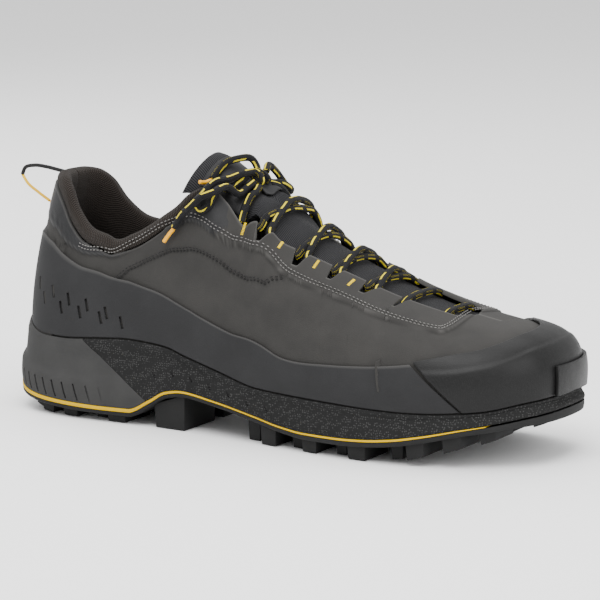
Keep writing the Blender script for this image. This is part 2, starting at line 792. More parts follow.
def make_blotches() -> None:
    """Soft change of tone over the surface."""
    group, start, end = new_group("Blotches", {"Size": 0.02}, ("Tone",))
    place = node(group, "TexCoord").outputs["Object"]
    scale = math_node(group, "DIVIDE", 1.0, start.outputs["Size"])
    broad = node(group, "TexNoise", {"Vector": place, "Scale": scale, "Detail": 4.0, "Roughness": 0.6})
    group.links.new(broad.outputs["Fac"], end.inputs["Tone"])


@lru_cache
def material(finish: Finish) -> bpy.types.Material:
    """Build the material of a finish.

    Args:
        finish: Its looks.

    Returns:
        The material: base and second colour mixed by tone, raised grain, worn edges.
    """
    made = bpy.data.materials.new(finish.name)
    made.use_nodes = True
    tree = made.node_tree
    shader = tree.nodes["Principled BSDF"]
    grain = node(tree, "Group", node_tree=bpy.data.node_groups[finish.grain])
    grain.inputs["Scale"].default_value = 1.0 / finish.scale
    tone = node(tree, "Group", node_tree=bpy.data.node_groups["Blotches"])
    tone.inputs["Size"].default_value = finish.blotch
    if finish.grain == "Braid":
        grain.inputs["Fine"].default_value = 1.0 / DASH_LINES
        factor = grain.outputs["Shade"]
    elif finish.grain in ("Ribs", "Dots"):
        factor = grain.outputs["Shade"]
    else:
        spread = node(tree, "MapRange", {"Value": tone.outputs["Tone"], "From Min": 0.35, "From Max": 0.65})
        factor = math_node(tree, "MULTIPLY_ADD", grain.outputs["Shade"], 0.35)
        tree.links.new(math_node(tree, "MULTIPLY", spread.outputs[0], 0.65), factor.node.inputs[2])
    colour = mix_colours(tree, factor, (*finish.colour, 1), (*finish.second, 1))
    if finish.edge:
        worn, groove = (node(tree, "Attribute", attribute_name=key).outputs["Fac"]
                        for key in ("worn", "groove"))
        worn = math_node(tree, "MULTIPLY", worn, finish.edge)
        colour = mix_colours(tree, worn, colour, (*WORN_TONE, 1))
        colour = mix_colours(tree, groove, colour, (*GROOVE_TONE, 1), "MULTIPLY")
    tree.links.new(colour, shader.inputs["Base Color"])
    rough = node(tree, "MapRange", {"Value": tone.outputs["Tone"], "From Min": 0.3, "From Max": 0.7,
                                    "To Min": finish.roughness - 0.06, "To Max": finish.roughness + 0.06})
    tree.links.new(rough.outputs[0], shader.inputs["Roughness"])
    shader.inputs["Coat Weight"].default_value = finish.coat
    shader.inputs["Coat Roughness"].default_value = 0.35
    shader.inputs["Sheen Weight"].default_value = finish.sheen
    shader.inputs["Sheen Roughness"].default_value = 0.5
    shader.inputs["Specular IOR Level"].default_value = finish.specular
    bump = node(tree, "Bump", {"Strength": 1.0, "Distance": finish.depth, "Height": grain.outputs["Height"]})
    tree.links.new(bump.outputs[0], shader.inputs["Normal"])
    return made


class Looks(Enum):
    """The finishes of the shoe."""

    NUBUCK = Finish("nubuck", (0.0240, 0.0232, 0.0222), (0.0345, 0.0332, 0.0315), 0.88, sheen=0.03,
                    scale=0.0006, depth=0.00007, blotch=0.018, edge=0.9)
    BAND = Finish("band_microfibre", (0.0165, 0.0165, 0.0172), (0.0235, 0.0235, 0.0243), 0.78, sheen=0.02,
                  scale=0.0005, depth=0.00005, blotch=0.02, edge=0.7)
    KNIT = Finish("collar_knit", (0.009, 0.0075, 0.0065), (0.028, 0.022, 0.018), 0.95, sheen=0.05,
                  grain="Ribs", scale=0.0011, depth=0.0003)
    TONGUE = Finish("tongue_textile", (0.006, 0.006, 0.007), (0.030, 0.030, 0.032), 0.92, sheen=0.03,
                    grain="Ribs", scale=0.00085, depth=0.00025)
    LEATHER = Finish("smooth_leather", (0.0145, 0.0145, 0.0152), (0.0230, 0.0230, 0.0238), 0.50,
                     scale=0.0009, depth=0.00008, blotch=0.01, edge=0.6)
    MIDSOLE = Finish("midsole_foam", (0.0115, 0.0115, 0.0115), (0.040, 0.040, 0.0395), 0.85, grain="Dots",
                     scale=0.0011, depth=0.00012)
    WEDGE = Finish("wedge_foam", (0.030, 0.0300, 0.0297), (0.040, 0.0396, 0.0390), 0.80, scale=0.0004,
                   depth=0.00004, blotch=0.012)
    ACCENT = Finish("accent_foam", (0.50, 0.305, 0.002), (0.57, 0.360, 0.003), 0.60, scale=0.0006,
                    depth=0.00003)
    OUTSOLE = Finish("outsole_rubber", (0.011, 0.011, 0.011), (0.019, 0.019, 0.019), 0.70, scale=0.0006,
                     depth=0.00005)
    CAP = Finish("cap_rubber", (0.008, 0.008, 0.008), (0.014, 0.014, 0.014), 0.42, coat=0.08,
                 grain="Dots", scale=0.00045, depth=0.00004)
    INSOLE = Finish("insole_cloth", (0.020, 0.020, 0.020), (0.040, 0.040, 0.040), 0.95, scale=0.0008,
                    depth=0.0001)
    LACE = Finish("lace_braid", (0.009, 0.009, 0.010), (0.62, 0.50, 0.02), 0.75, sheen=0.03,
                  grain="Braid", scale=0.0016, depth=0.00018)
    SLEEVE = Finish("loop_sleeve", (0.008, 0.008, 0.008), (0.02, 0.02, 0.02), 0.5, scale=0.0005,
                    depth=0.00004)
    CORD = Finish("loop_cord", (0.60, 0.33, 0.012), (0.78, 0.50, 0.03), 0.7, scale=0.0004, depth=0.0001)
    TIP = Finish("lace_tip", (0.72, 0.33, 0.006), (0.78, 0.38, 0.010), 0.32, coat=0.3, scale=0.0004,
                 depth=0.00002)
    THREAD_DARK = Finish("thread_dark", (0.010, 0.010, 0.010), (0.02, 0.02, 0.02), 0.7, scale=0.0004)
    THREAD_LIGHT = Finish("thread_light", (0.11, 0.105, 0.10), (0.16, 0.155, 0.15), 0.7, scale=0.0004)
    BARTACK = Finish("bartack_thread", (0.60, 0.42, 0.006), (0.70, 0.50, 0.010), 0.6, scale=0.0004,
                     depth=0.00008)


def wear(piece: Piece, look: Looks) -> Piece:
    """Give a piece its finish.

    Args:
        piece: The piece.
        look: Its finish.

    Returns:
        The piece.
    """
    piece.data.materials.clear()
    piece.data.materials.append(material(look.value))
    LOG.info("%s: %s, %d faces", piece.name, look.value.name, len(getattr(piece.data, "polygons", ())))
    return piece


# The upper

@dataclass(frozen=True)
class Upper:
    """Nubuck quarters in one sheet: collar line, throat with its tabs and notches, seams, creases."""

    roll: float = 0.0080
    overlay_step: float = 0.0008
    notch_depth: float = 0.0108
    lean: float = 0.62
    rows: int = 40
    rows_crowding: float = 1.35
    stitch_gap: float = 0.0016
    stitch_pitch: float = 0.0021
    first_stitch: float = 0.0022
    bar_width: float = 0.0017
    bar_thread: float = 0.0007

    # How far the knit roll shows below the crest, as a share of the roll
    ROLL = Table("turn shown", [(0.00, 0.65), (0.10, 0.80), (0.20, 1.00), (0.40, 1.00), (0.44, 0.80),
                                (0.472, 0.40), (0.500, 0.00)])
    # Throat in plan: shares of the length and of the collar width, then the tabs along it
    THROAT = ((0.372, 0.360), (0.388, 0.390), (0.405, 0.436), (0.447, 0.441), (0.483, 0.437),
              (0.510, 0.420), (0.547, 0.397), (0.573, 0.381), (0.609, 0.361), (0.630, 0.347),
              (0.665, 0.325), (0.690, 0.310), (0.725, 0.290), (0.738, 0.281), (0.783, 0.254),
              (0.812, 0.234), (0.824, 0.150), (0.829, 0.030), (0.832, -0.100))
    TABS = ((0.447, 0.483), (0.510, 0.547), (0.573, 0.609), (0.630, 0.665), (0.690, 0.725), (0.738, 0.783))

    # Seams on the form, as turns and rises: the light double stitch and the dark arc below it
    EYESTAY_SEAM = (
        (0.00, 0.735), (0.10, 0.742), (0.16, 0.752), (0.195, 0.765), (0.225, 0.79), (0.265, 0.82),
        (0.295, 0.85), (0.325, 0.87), (0.365, 0.895), (0.395, 0.90), (0.42, 0.89), (0.44, 0.865),
        (0.46, 0.80), (0.48, 0.71), (0.51, 0.60), (0.54, 0.53), (0.58, 0.54), (0.62, 0.56), (0.66, 0.585),
        (0.70, 0.60), (0.745, 0.615), (0.78, 0.63), (0.80, 0.65), (0.815, 0.74), (0.822, 0.88),
        (0.825, 1.00),
    )
    DARK_SEAM = ((0.315, 0.66), (0.33, 0.70), (0.345, 0.735), (0.38, 0.755), (0.41, 0.75), (0.435, 0.71),
                 (0.455, 0.655), (0.49, 0.54), (0.51, 0.47), (0.535, 0.41), (0.555, 0.41), (0.57, 0.47),
                 (0.59, 0.54))
    # Where the smooth leather ends, and its flap by the first tab
    PANEL_END = 0.455
    FLAP_END = 0.500
    FLAP_LOW = 0.73
    # Ends of the bright bars as turns and rises
    BARTACKS = ((0.520, 0.62, 0.525, 0.66), (0.575, 0.64, 0.580, 0.69), (0.625, 0.68, 0.630, 0.74),
                (0.670, 0.70, 0.675, 0.76))
    COUNTER_TOP = ((0.00, 0.665), (0.08, 0.66), (0.125, 0.665), (0.17, 0.68), (0.195, 0.755))
    # Soft troughs: two ends as turns and rises, then width and depth in metres
    CREASES = (
        (0.30, 0.74, 0.36, 0.62, 0.0050, 0.0006), (0.42, 0.62, 0.50, 0.42, 0.0060, 0.0007),
        (0.60, 0.38, 0.66, 0.50, 0.0045, 0.0005), (0.70, 0.36, 0.72, 0.52, 0.0045, 0.0005),
        (0.64, 0.30, 0.70, 0.42, 0.0050, -0.0004), (0.20, 0.70, 0.28, 0.74, 0.0040, 0.0004),
        (1.40, 0.60, 1.50, 0.40, 0.0060, 0.0007), (1.30, 0.38, 1.36, 0.52, 0.0045, 0.0006),
        (0.50, 0.30, 0.58, 0.36, 0.0060, -0.0004), (0.80, 0.50, 0.84, 0.72, 0.0040, 0.0004),
    )

    def throat_half(self, x: Array) -> Array:
        """Half width of the throat in plan at a place along the shoe, below zero where there is none."""
        along, half = np.array(self.THROAT).T
        return np.interp(x, along * LAST.length, half * LAST.collar_width, left=-1.0, right=-1.0)

    def top_rise(self, turn: Array) -> Array:
        """Rise of the sheet's upper edge, before its notches, at each turn."""
        samples = np.linspace(0.2, 1, 321)
        lines = LAST.form(turn[:, None], samples)
        inside = np.abs(lines[..., 1]) < self.throat_half(lines[..., 0])
        spare = np.abs(lines[..., 1]) - self.throat_half(lines[..., 0])
        first = np.where(inside.any(1), inside.argmax(1), len(samples) - 1)
        rows = np.arange(len(turn))
        before, after = spare[rows, first - 1], spare[rows, first]
        share = np.where(after < 0, before / np.maximum(before - after, 1e-9), 1.0)
        throat = samples[first - 1] + np.clip(share, 0, 1) * (samples[1] - samples[0])
        shown = self.ROLL.at("shown", LAST.fold(turn)) * self.roll
        collar = LAST.rise_at_depth(turn, shown[:, None])[:, 0]
        return np.minimum(np.where(LAST.fold(turn) < 0.5, collar, 1.0), throat)

    @lru_cache
    def tab_turns(self) -> list:
        """Turns of the two ends of each tab along the throat's edge."""
        turns = np.linspace(0.46, 0.84, 500)
        along = LAST.form(turns, self.top_rise(turns))[:, 0] / LAST.length
        along = np.maximum.accumulate(along)
        return [tuple(np.interp(ends, along, turns)) for ends in self.TABS]

    def columns(self) -> Array:
        """Turns of the lateral columns, close together at the walls of the notches."""
        tabs = self.tab_turns()
        parts = [np.linspace(0, tabs[0][0], 190, endpoint=False)]
        for k, (start, end) in enumerate(tabs):
            parts.append(np.linspace(start, end, 13, endpoint=False))
            if k + 1 < len(tabs):
                gap = tabs[k + 1][0] - end
                parts.append(end + gap * np.linspace(0, 0.12, 8, endpoint=False))
                parts.append(end + gap * np.linspace(0.12, 1, 18, endpoint=False))
        parts.append(np.linspace(tabs[-1][1], 0.835, 40, endpoint=False))
        parts.append(np.linspace(0.835, 1, 34))
        return np.concatenate(parts)

    def notch(self, turn: Array) -> Array:
        """Depth of the notches in the throat's edge: steep at the rear, slanted in front."""
        t = LAST.fold(turn)
        depth = np.zeros_like(t)
        tabs = self.tab_turns()
        for before, after in zip(tabs, tabs[1:]):
            share = (t - before[1]) / (after[0] - before[1])
            wall = smooth(share / 0.11) * (1 - smooth((share - 0.44) / 0.56))
            depth = depth + np.where((share > 0) & (share < 1), wall, 0) * self.notch_depth
        return depth

    @lru_cache
    def grid(self) -> tuple:
        """Turns and rises of every point of the sheet, row after row from its upper edge."""
        lateral = self.columns()
        turn = np.concatenate([lateral, 2 - lateral[-2::-1]])
        samples, runs = LAST.depth_runs(turn)
        top = read_rows(1 - np.broadcast_to(samples, runs.shape), runs, 1 - self.top_rise(turn)[:, None])
        start = top + self.notch(turn)[:, None]
        share = np.linspace(0, 1, self.rows) ** self.rows_crowding
        depth = start + (runs[:, -1:] - start) * share
        fold = LAST.fold(turn)[:, None]
        place = smooth((fold - 0.45) / 0.03) * (1 - smooth((fold - 0.78) / 0.04))
        slide = self.lean * np.clip(depth - top, 0, 0.014) * place * (1 - smooth((share - 0.5) / 0.5))
        turns = turn[:, None] - np.where(turn[:, None] > 1, -1, 1) * slide
        rises = np.stack([LAST.rise_at_depth(turns[:, k], depth[:, k:k + 1])[:, 0]
                          for k in range(self.rows)], 1)
        return turns.T, rises.T

    @staticmethod
    def signed_gap(points: Array, field: Array) -> Array:
        """Distance to a field's zero line, to first order: the field over its slope on the surface."""
        du, dv = np.gradient(points, axis=1), np.gradient(points, axis=0)
        fu, fv = np.gradient(field, axis=1), np.gradient(field, axis=0)
        first, mixed, last = (du * du).sum(-1), (du * dv).sum(-1), (dv * dv).sum(-1)
        size = np.maximum(first * last - mixed ** 2, 1e-20)
        slope = (last * fu ** 2 - 2 * mixed * fu * fv + first * fv ** 2) / size
        return field / np.sqrt(np.maximum(slope, 1e-6))

    def seam_rise(self, seam: tuple, turn: Array) -> Array:
        """Rise of a seam at each turn, on both sides of the shoe."""
        turns = np.array(seam)[:, 0]
        table = Table("turn rise", seam)
        found = table.at("rise", LAST.fold(turn))
        return np.where((LAST.fold(turn) >= turns[0]) & (LAST.fold(turn) <= turns[-1]), found, np.nan)

    def relief(self, turn: Array, rise: Array) -> tuple:
        """Height of overlays, creases and seam grooves over the plain form, and the seams' marks.

        Args:
            turn: Turns of the grid.
            rise: Rises of the grid.

        Returns:
            Heights in metres, wear from 0 to 1 and groove shade from 0 to 1.
        """
        points = LAST.form(turn, rise)
        height = np.zeros_like(turn)
        wear_mark = np.zeros_like(turn)
        groove = np.zeros_like(turn)
        line = np.where(LAST.fold(turn) > 0.825, 1.05, self.seam_rise(self.EYESTAY_SEAM, turn))
        apart = self.signed_gap(points, rise - line)
        raised = smooth((apart + 0.0003) / 0.0009)
        height += self.overlay_step * raised
        wear_mark += np.exp(-((apart - 0.0004) / 0.0004) ** 2) * 0.35
        groove += np.exp(-((apart + 0.0005) / 0.0008) ** 2) * 0.4
        for offset in (self.first_stitch, self.first_stitch + self.stitch_gap):
            height -= 0.00022 * np.exp(-((apart - offset) / 0.0005) ** 2)
        line = self.seam_rise(self.DARK_SEAM, turn)
        apart = np.nan_to_num(self.signed_gap(points, rise - line), nan=1.0)
        height -= 0.00012 * np.exp(-(apart / 0.0009) ** 2)
        groove += np.exp(-(apart / 0.0008) ** 2) * 0.35
        line = self.seam_rise(self.COUNTER_TOP, turn)
        apart = np.nan_to_num(self.signed_gap(points, rise - line), nan=1.0)
        height += np.where(np.isnan(line), 0, 0.0009 * smooth((0.0003 - apart) / 0.0008))
        groove += np.exp(-(apart / 0.0006) ** 2) * 0.7
        for first, low, last, high, width, depth in self.CREASES:
            ends = LAST.form(np.array([first, last]), np.array([low, high]))
            way = ends[1] - ends[0]
            share = np.clip(((points - ends[0]) @ way) / (way @ way), 0, 1)
            away = np.linalg.norm(points - ends[0] - share[..., None] * way, axis=-1)
            height -= depth * np.exp(-(away / width) ** 2)
        return height, np.clip(wear_mark, 0, 1), np.clip(groove, 0, 1)

    def build(self) -> None:
        """Make the sheet, give it its wall and dress it."""
        turn, rise = self.grid()
        height, worn, groove = self.relief(turn, rise)
        points = LAST.face(turn, rise, height)
        worn[0] = np.maximum(worn[0], 0.55)
        worn[1] = np.maximum(worn[1], 0.25)
        marks = {"worn": worn, "groove": groove, "panel": self.panel(turn, rise)}
        mesh = grid_mesh("upper_shell", points, values=marks, merge=2e-5)
        piece = put("upper_shell", mesh, "nubuck", "upper")
        wear(thicken(piece, LAST.wall, 0.0002), Looks.NUBUCK)
        self.face_panel(piece)

    def panel(self, turn: Array, rise: Array) -> Array:
        """1 on the smooth leather round the collar and on its flap at the eyestay, else 0."""
        fold = LAST.fold(turn)
        above = rise > np.nan_to_num(self.seam_rise(self.EYESTAY_SEAM, turn), nan=2.0)
        flap = (fold < self.FLAP_END) & (rise > self.FLAP_LOW)
        return (above & ((fold < self.PANEL_END) | flap)).astype(float)

    @staticmethod
    def face_panel(piece: Piece) -> None:
        """Give the faces of the collar panel the smooth leather."""
        mesh = piece.data
        mesh.materials.append(material(Looks.LEATHER.value))
        marks = np.empty(len(mesh.vertices), np.float32)
        mesh.attributes["panel"].data.foreach_get("value", marks)
        first = np.empty(len(mesh.polygons), np.int32)
        mesh.polygons.foreach_get("loop_start", first)
        corners = np.empty(len(mesh.loops), np.int32)
        mesh.loops.foreach_get("vertex_index", corners)
        mesh.polygons.foreach_set("material_index", (marks[corners[first]] > 0.5).astype(np.int32))

    def build_bartacks(self) -> None:
        """Sew the bright bars that hold the eyestay under each tab."""
        rows = []
        for first, low, last, high in self.BARTACKS:
            for flip in (False, True):
                share = np.linspace(0, 1, 9)
                turn, rise = first + (last - first) * share, low + (high - low) * share
                turn = 2 - turn if flip else turn
                middle, normal = LAST.face(turn, rise, self.overlay_step), LAST.normal(turn, rise)
                along = np.gradient(middle, axis=0)
                way = np.cross(along, normal)
                way /= np.linalg.norm(way, axis=1)[:, None]
                rows.append((middle, way, normal))
        mesh = thread_mesh("bartacks", rows, self.bar_width, self.bar_thread)
        wear(put("bartacks", mesh, "nubuck"), Looks.BARTACK)

    def build_stitches(self) -> None:
        """Sew the seams: pairs of thread loops sunk in the leather, light along the eyestay."""
        light, dark = [], []
        for mirror in (False, True):
            for seam, offsets, store in (
                    (self.EYESTAY_SEAM[4:], (self.first_stitch, self.first_stitch + self.stitch_gap), light),
                    (self.DARK_SEAM, (0.0, 0.0013), dark),
                    (self.COUNTER_TOP, (-self.first_stitch,), dark)):
                turns = np.linspace(seam[0][0], seam[-1][0], 400)
                route = np.stack([turns, Table("turn rise", seam).at("rise", turns)], -1)
                if mirror:
                    route[:, 0] = 2 - route[:, 0]
                store += self.stitch_line(route, offsets)
        for name, found, look in (("stitches_light", light, Looks.THREAD_LIGHT),
                                  ("stitches_dark", dark, Looks.THREAD_DARK)):
            wear(put(name, thread_mesh(name, found), "nubuck"), look)

    def stitch_line(self, route: Array, offsets: tuple) -> list:
        """Middle, direction and normal of each stitch beside a seam."""
        points = LAST.face(route[:, 0], route[:, 1], 0.0)
        normals = LAST.normal(route[:, 0], route[:, 1])
        run = run_along(points)
        places = np.arange(self.stitch_pitch, run[-1] - self.stitch_pitch, self.stitch_pitch)
        middle, normal = (np.stack([np.interp(places, run, rows[:, k]) for k in range(3)], -1)
                          for rows in (points, normals))
        way = np.gradient(middle, axis=0)
        way /= np.linalg.norm(way, axis=1)[:, None]
        normal /= np.linalg.norm(normal, axis=1)[:, None]
        side = np.cross(normal, way)
        side *= np.sign(side[:, 2:3] + 1e-9)
        return [(middle + side * offset + normal * (self.overlay_step if offset > 0 else 0.0001), way, normal)
                for offset in offsets]


def thread_mesh(name: str, lines: list, length: float = 0.0014, width: float = 0.00055) -> bpy.types.Mesh:
    """Small rounded stitches, each a bent strip of six sides with closed ends.

    Args:
        name: The mesh's name.
        lines: For each seam, its stitches' middles, directions and normals.
        length: Length of a stitch.
        width: Width of a stitch.

    Returns:
        One mesh of all stitches.
    """
    middle, way, normal = (np.concatenate([line[k] for line in lines]) for k in range(3))
    side = np.cross(way, normal)
    along = np.array([-0.5, -0.3, 0.0, 0.3, 0.5]) * length
    swell = np.array([0.25, 0.9, 1.0, 0.9, 0.25]) * width / 2
    lift = np.array([-0.30, 0.05, 0.20, 0.05, -0.30]) * width
    angle = np.arange(6) * math.pi / 3
    ring = (swell[:, None, None] * (np.cos(angle)[None, :, None] * side[:, None, None, :]
                                    + np.sin(angle)[None, :, None] * normal[:, None, None, :]))
    spine = middle[:, None] + along[None, :, None] * way[:, None] + lift[None, :, None] * normal[:, None]
    points = (spine[:, :, None] + ring).reshape(-1, 3)
    quads = grid_faces(5, 6, True)
    ends = np.array([[0, 1, 2, 3], [0, 3, 4, 5], [27, 26, 25, 24], [29, 28, 27, 24]])
    starts = np.arange(len(middle)) * 30
    faces = (np.concatenate([quads, ends])[None] + starts[:, None, None]).reshape(-1, 4)
    return mesh_of(name, points, faces)


@dataclass(frozen=True)
class Collar:
    """Padded roll that lines the mouth and shows outside as a knit binding."""

    roll: float = 0.0080
    pad: float = 0.0050
    depth: float = 0.034
    end: float = 16 / 34
    stations: int = 260
    # Depth below the crest as shares of the roll and of the collar's depth, then the distance in
    # as shares of wall and padding
    SECTION = (
        (0.00, 1.00, 1.0, 0.00), (0.00, 0.60, 1.0, 0.00), (0.93, 0.00, 1.0, 0.00), (0.86, 0.00, 0.1, 0.00),
        (0.45, 0.00, -0.2, 0.00), (0.10, 0.00, 0.3, 0.00), (0.00, 0.00, 1.0, 0.30), (0.00, 0.05, 1.0, 0.75),
        (0.00, 0.24, 1.0, 1.00), (0.00, 0.60, 1.0, 0.95), (0.00, 0.96, 1.0, 0.45),
    )

    def build(self) -> None:
        """Sweep the section along the crest; the visible bend is a closed smooth curve."""
        half = np.linspace(self.end, 0, self.stations // 2)
        turn = np.concatenate([half, 2 - half[-2::-1]])
        shown = Upper.ROLL.at("shown", LAST.fold(turn)) * self.roll
        rings = []
        for of_roll, of_depth, of_wall, of_pad in self.SECTION:
            depth = of_roll * shown + of_depth * self.depth
            rise = LAST.rise_at_depth(turn, depth[:, None])[:, 0]
            inwards = of_wall * (LAST.wall + LAST.gap) + of_pad * self.pad
            rings.append(LAST.face(turn, rise, -inwards))
        rings = np.stack(rings)
        count = len(rings)
        keys = np.arange(-2, count + 3)
        closed = rings[keys % count]
        query = np.linspace(0, count, 46, endpoint=False)
        low = np.floor(query).astype(int)
        share = (query - low)[:, None, None]
        before, start, stop, after = (closed[low + k + 1] for k in range(4))
        square, cube = 2 * before - 5 * start + 4 * stop - after, 3 * start - before - 3 * stop + after
        points = 0.5 * (2 * start + (stop - before) * share + square * share ** 2 + cube * share ** 3)
        mesh = grid_mesh("collar_knit", points.transpose(1, 0, 2), closed=True, ends=True)
        swap_uv(mesh)
        piece = wear(put("collar_knit", mesh, "knit", "collar"), Looks.KNIT)


def round_piece(name: str, path: Array, diameter: float, sides: int, slot: str, look: Looks,
                *nodes: str) -> Piece:
    """Round piece along a path.

    Args:
        name: The piece's name.
        path: Points of its middle line.
        diameter: Its thickness.
        sides: Points round it.
        slot: Its material slot.
        look: Its finish.
        nodes: The solids that it stands for.

    Returns:
        The piece.
    """
    mesh = grid_mesh(name, tube_points(path, diameter / 2, sides), True, ends=True)
    return wear(put(name, mesh, slot, *nodes), look)


def swap_uv(mesh: bpy.types.Mesh) -> None:
    """Turn a mesh's surface run by a quarter, so that its ribs lie the other way."""
    layer = mesh.uv_layers["run"].data
    places = np.empty(2 * len(layer), np.float32)
    layer.foreach_get("uv", places)
    layer.foreach_set("uv", np.ascontiguousarray(places.reshape(-1, 2)[:, ::-1]).ravel())


@dataclass(frozen=True)
class Tongue:
    """Padded ribbed sheet under the lacing, with its top leaning out over the instep."""

    thickness: float = 0.0042
    gap: float = 0.0010
    across: int = 44
    down: int = 190
    stations: int = 22
    leather: float = 0.0006
    leather_lift: float = 0.0005
    LEATHER_ROWS = (7, 34)
    # Shares of the length, instep height, collar width, then drop and backward lean of the edges
    TOP = ((0.357, 1.062, 0.290, 0.150, 0.075), (0.368, 1.055, 0.300, 0.140, 0.060),
           (0.389, 1.022, 0.312, 0.128, 0.030), (0.412, 0.980, 0.325, 0.125, 0.008),
           (0.440, 0.935, 0.335, 0.128, 0.000))
    REACH = Table("along reach gap", [(0.468, 0.42, 1.6), (0.50, 0.44, 1.6), (0.60, 0.44, 1.6),
                                      (0.70, 0.40, 1.6), (0.80, 0.34, 1.2), (0.84, 0.28, 0.5)])

    @staticmethod
    @lru_cache
    def lines(x: float, side: int, samples: int = 61) -> tuple:
        """Cross line of the form at a place along the shoe, from the middle line down, with its runs."""
        turns = np.linspace(0.30, 0.999, 300)
        rises = np.linspace(1.0, 0.1, samples)
        grid = LAST.form((turns if side < 0 else 2 - turns)[:, None], rises)
        line = np.array([[np.interp(x, column[:, 0], column[:, axis]) for axis in (1, 2)]
                         for column in grid.transpose(1, 0, 2)])
        return line, run_along(line)

    def on_form(self, x: float, reach: Array, drop: float) -> Array:
        """Points across the shoe at signed arc distances from the middle line, moved inwards by drop."""
        points = []
        for side in (Side.LATERAL, Side.MEDIAL):
            line, run = self.lines(float(x), side.value)
            own = reach[reach < 0] if side is Side.LATERAL else reach[reach >= 0]
            here, near, far = (np.stack([np.interp(np.maximum(np.abs(own) + shift, 0), run, line[:, axis])
                                         for axis in (0, 1)], -1) for shift in (0, -0.002, 0.002))
            along = (far - near) / np.linalg.norm(far - near, axis=1)[:, None]
            inwards = np.stack([along[:, 1], -along[:, 0]], -1) * (1 if side is Side.MEDIAL else -1)
            inwards = np.where(np.abs(own)[:, None] < 1e-6, [0.0, -1.0], inwards)
            moved = here + drop * inwards
            points.append(np.column_stack([np.full(len(own), x), moved]))
        return np.concatenate(points)

    @lru_cache
    def surface(self) -> Array:
        """Grid of the outer face, from the free top to the front end."""
        share = np.linspace(-1, 1, self.across + 1)
        rows = []
        bend = 1 - np.cos(0.5 * math.pi * np.abs(share))
        for along, height, half, drop, lean in self.TOP:
            rows.append(np.stack([along * LAST.length - lean * LAST.instep_height * bend,
                                  half * LAST.collar_width * np.sin(0.5 * math.pi * share),
                                  height * LAST.instep_height - drop * LAST.instep_height * bend], -1))
        first, last = self.REACH.data[0, 0], self.REACH.data[-1, 0]
        for along in np.linspace(first, last, self.stations):
            reach = float(self.REACH.at("reach", along)) * LAST.collar_width
            drop = LAST.wall + float(self.REACH.at("gap", along)) * self.gap
            rows.append(self.on_form(along * LAST.length, share * reach, drop))
        rows = np.stack(rows)
        run = run_along(rows[:, self.across // 2])
        return read_curve(rows, run, np.linspace(0, run[-1], self.down))

    def build(self) -> None:
        """Make the sheet with its padding and ribs."""
        points = self.surface()
        mesh = grid_mesh("tongue_body", points)
        piece = put("tongue_body", mesh, "tongue_textile", "tongue")
        wear(thicken(piece, self.thickness, 0.0012), Looks.TONGUE)

    def build_panel(self) -> None:
        """Sew the smooth leather onto the tongue's free top, inside the knit edge."""
        face = self.surface()
        normal = np.cross(np.gradient(face, axis=0), np.gradient(face, axis=1))
        normal /= np.linalg.norm(normal, axis=-1, keepdims=True)
        normal *= np.sign(normal[..., 2].mean())
        margin = self.across // 9
        inside = (face + self.leather_lift * normal)[slice(*self.LEATHER_ROWS), margin:-margin]
        piece = put("tongue_leather", grid_mesh("tongue_leather", inside), "tongue_textile")
        wear(thicken(piece, self.leather, 0.0002), Looks.LEATHER)


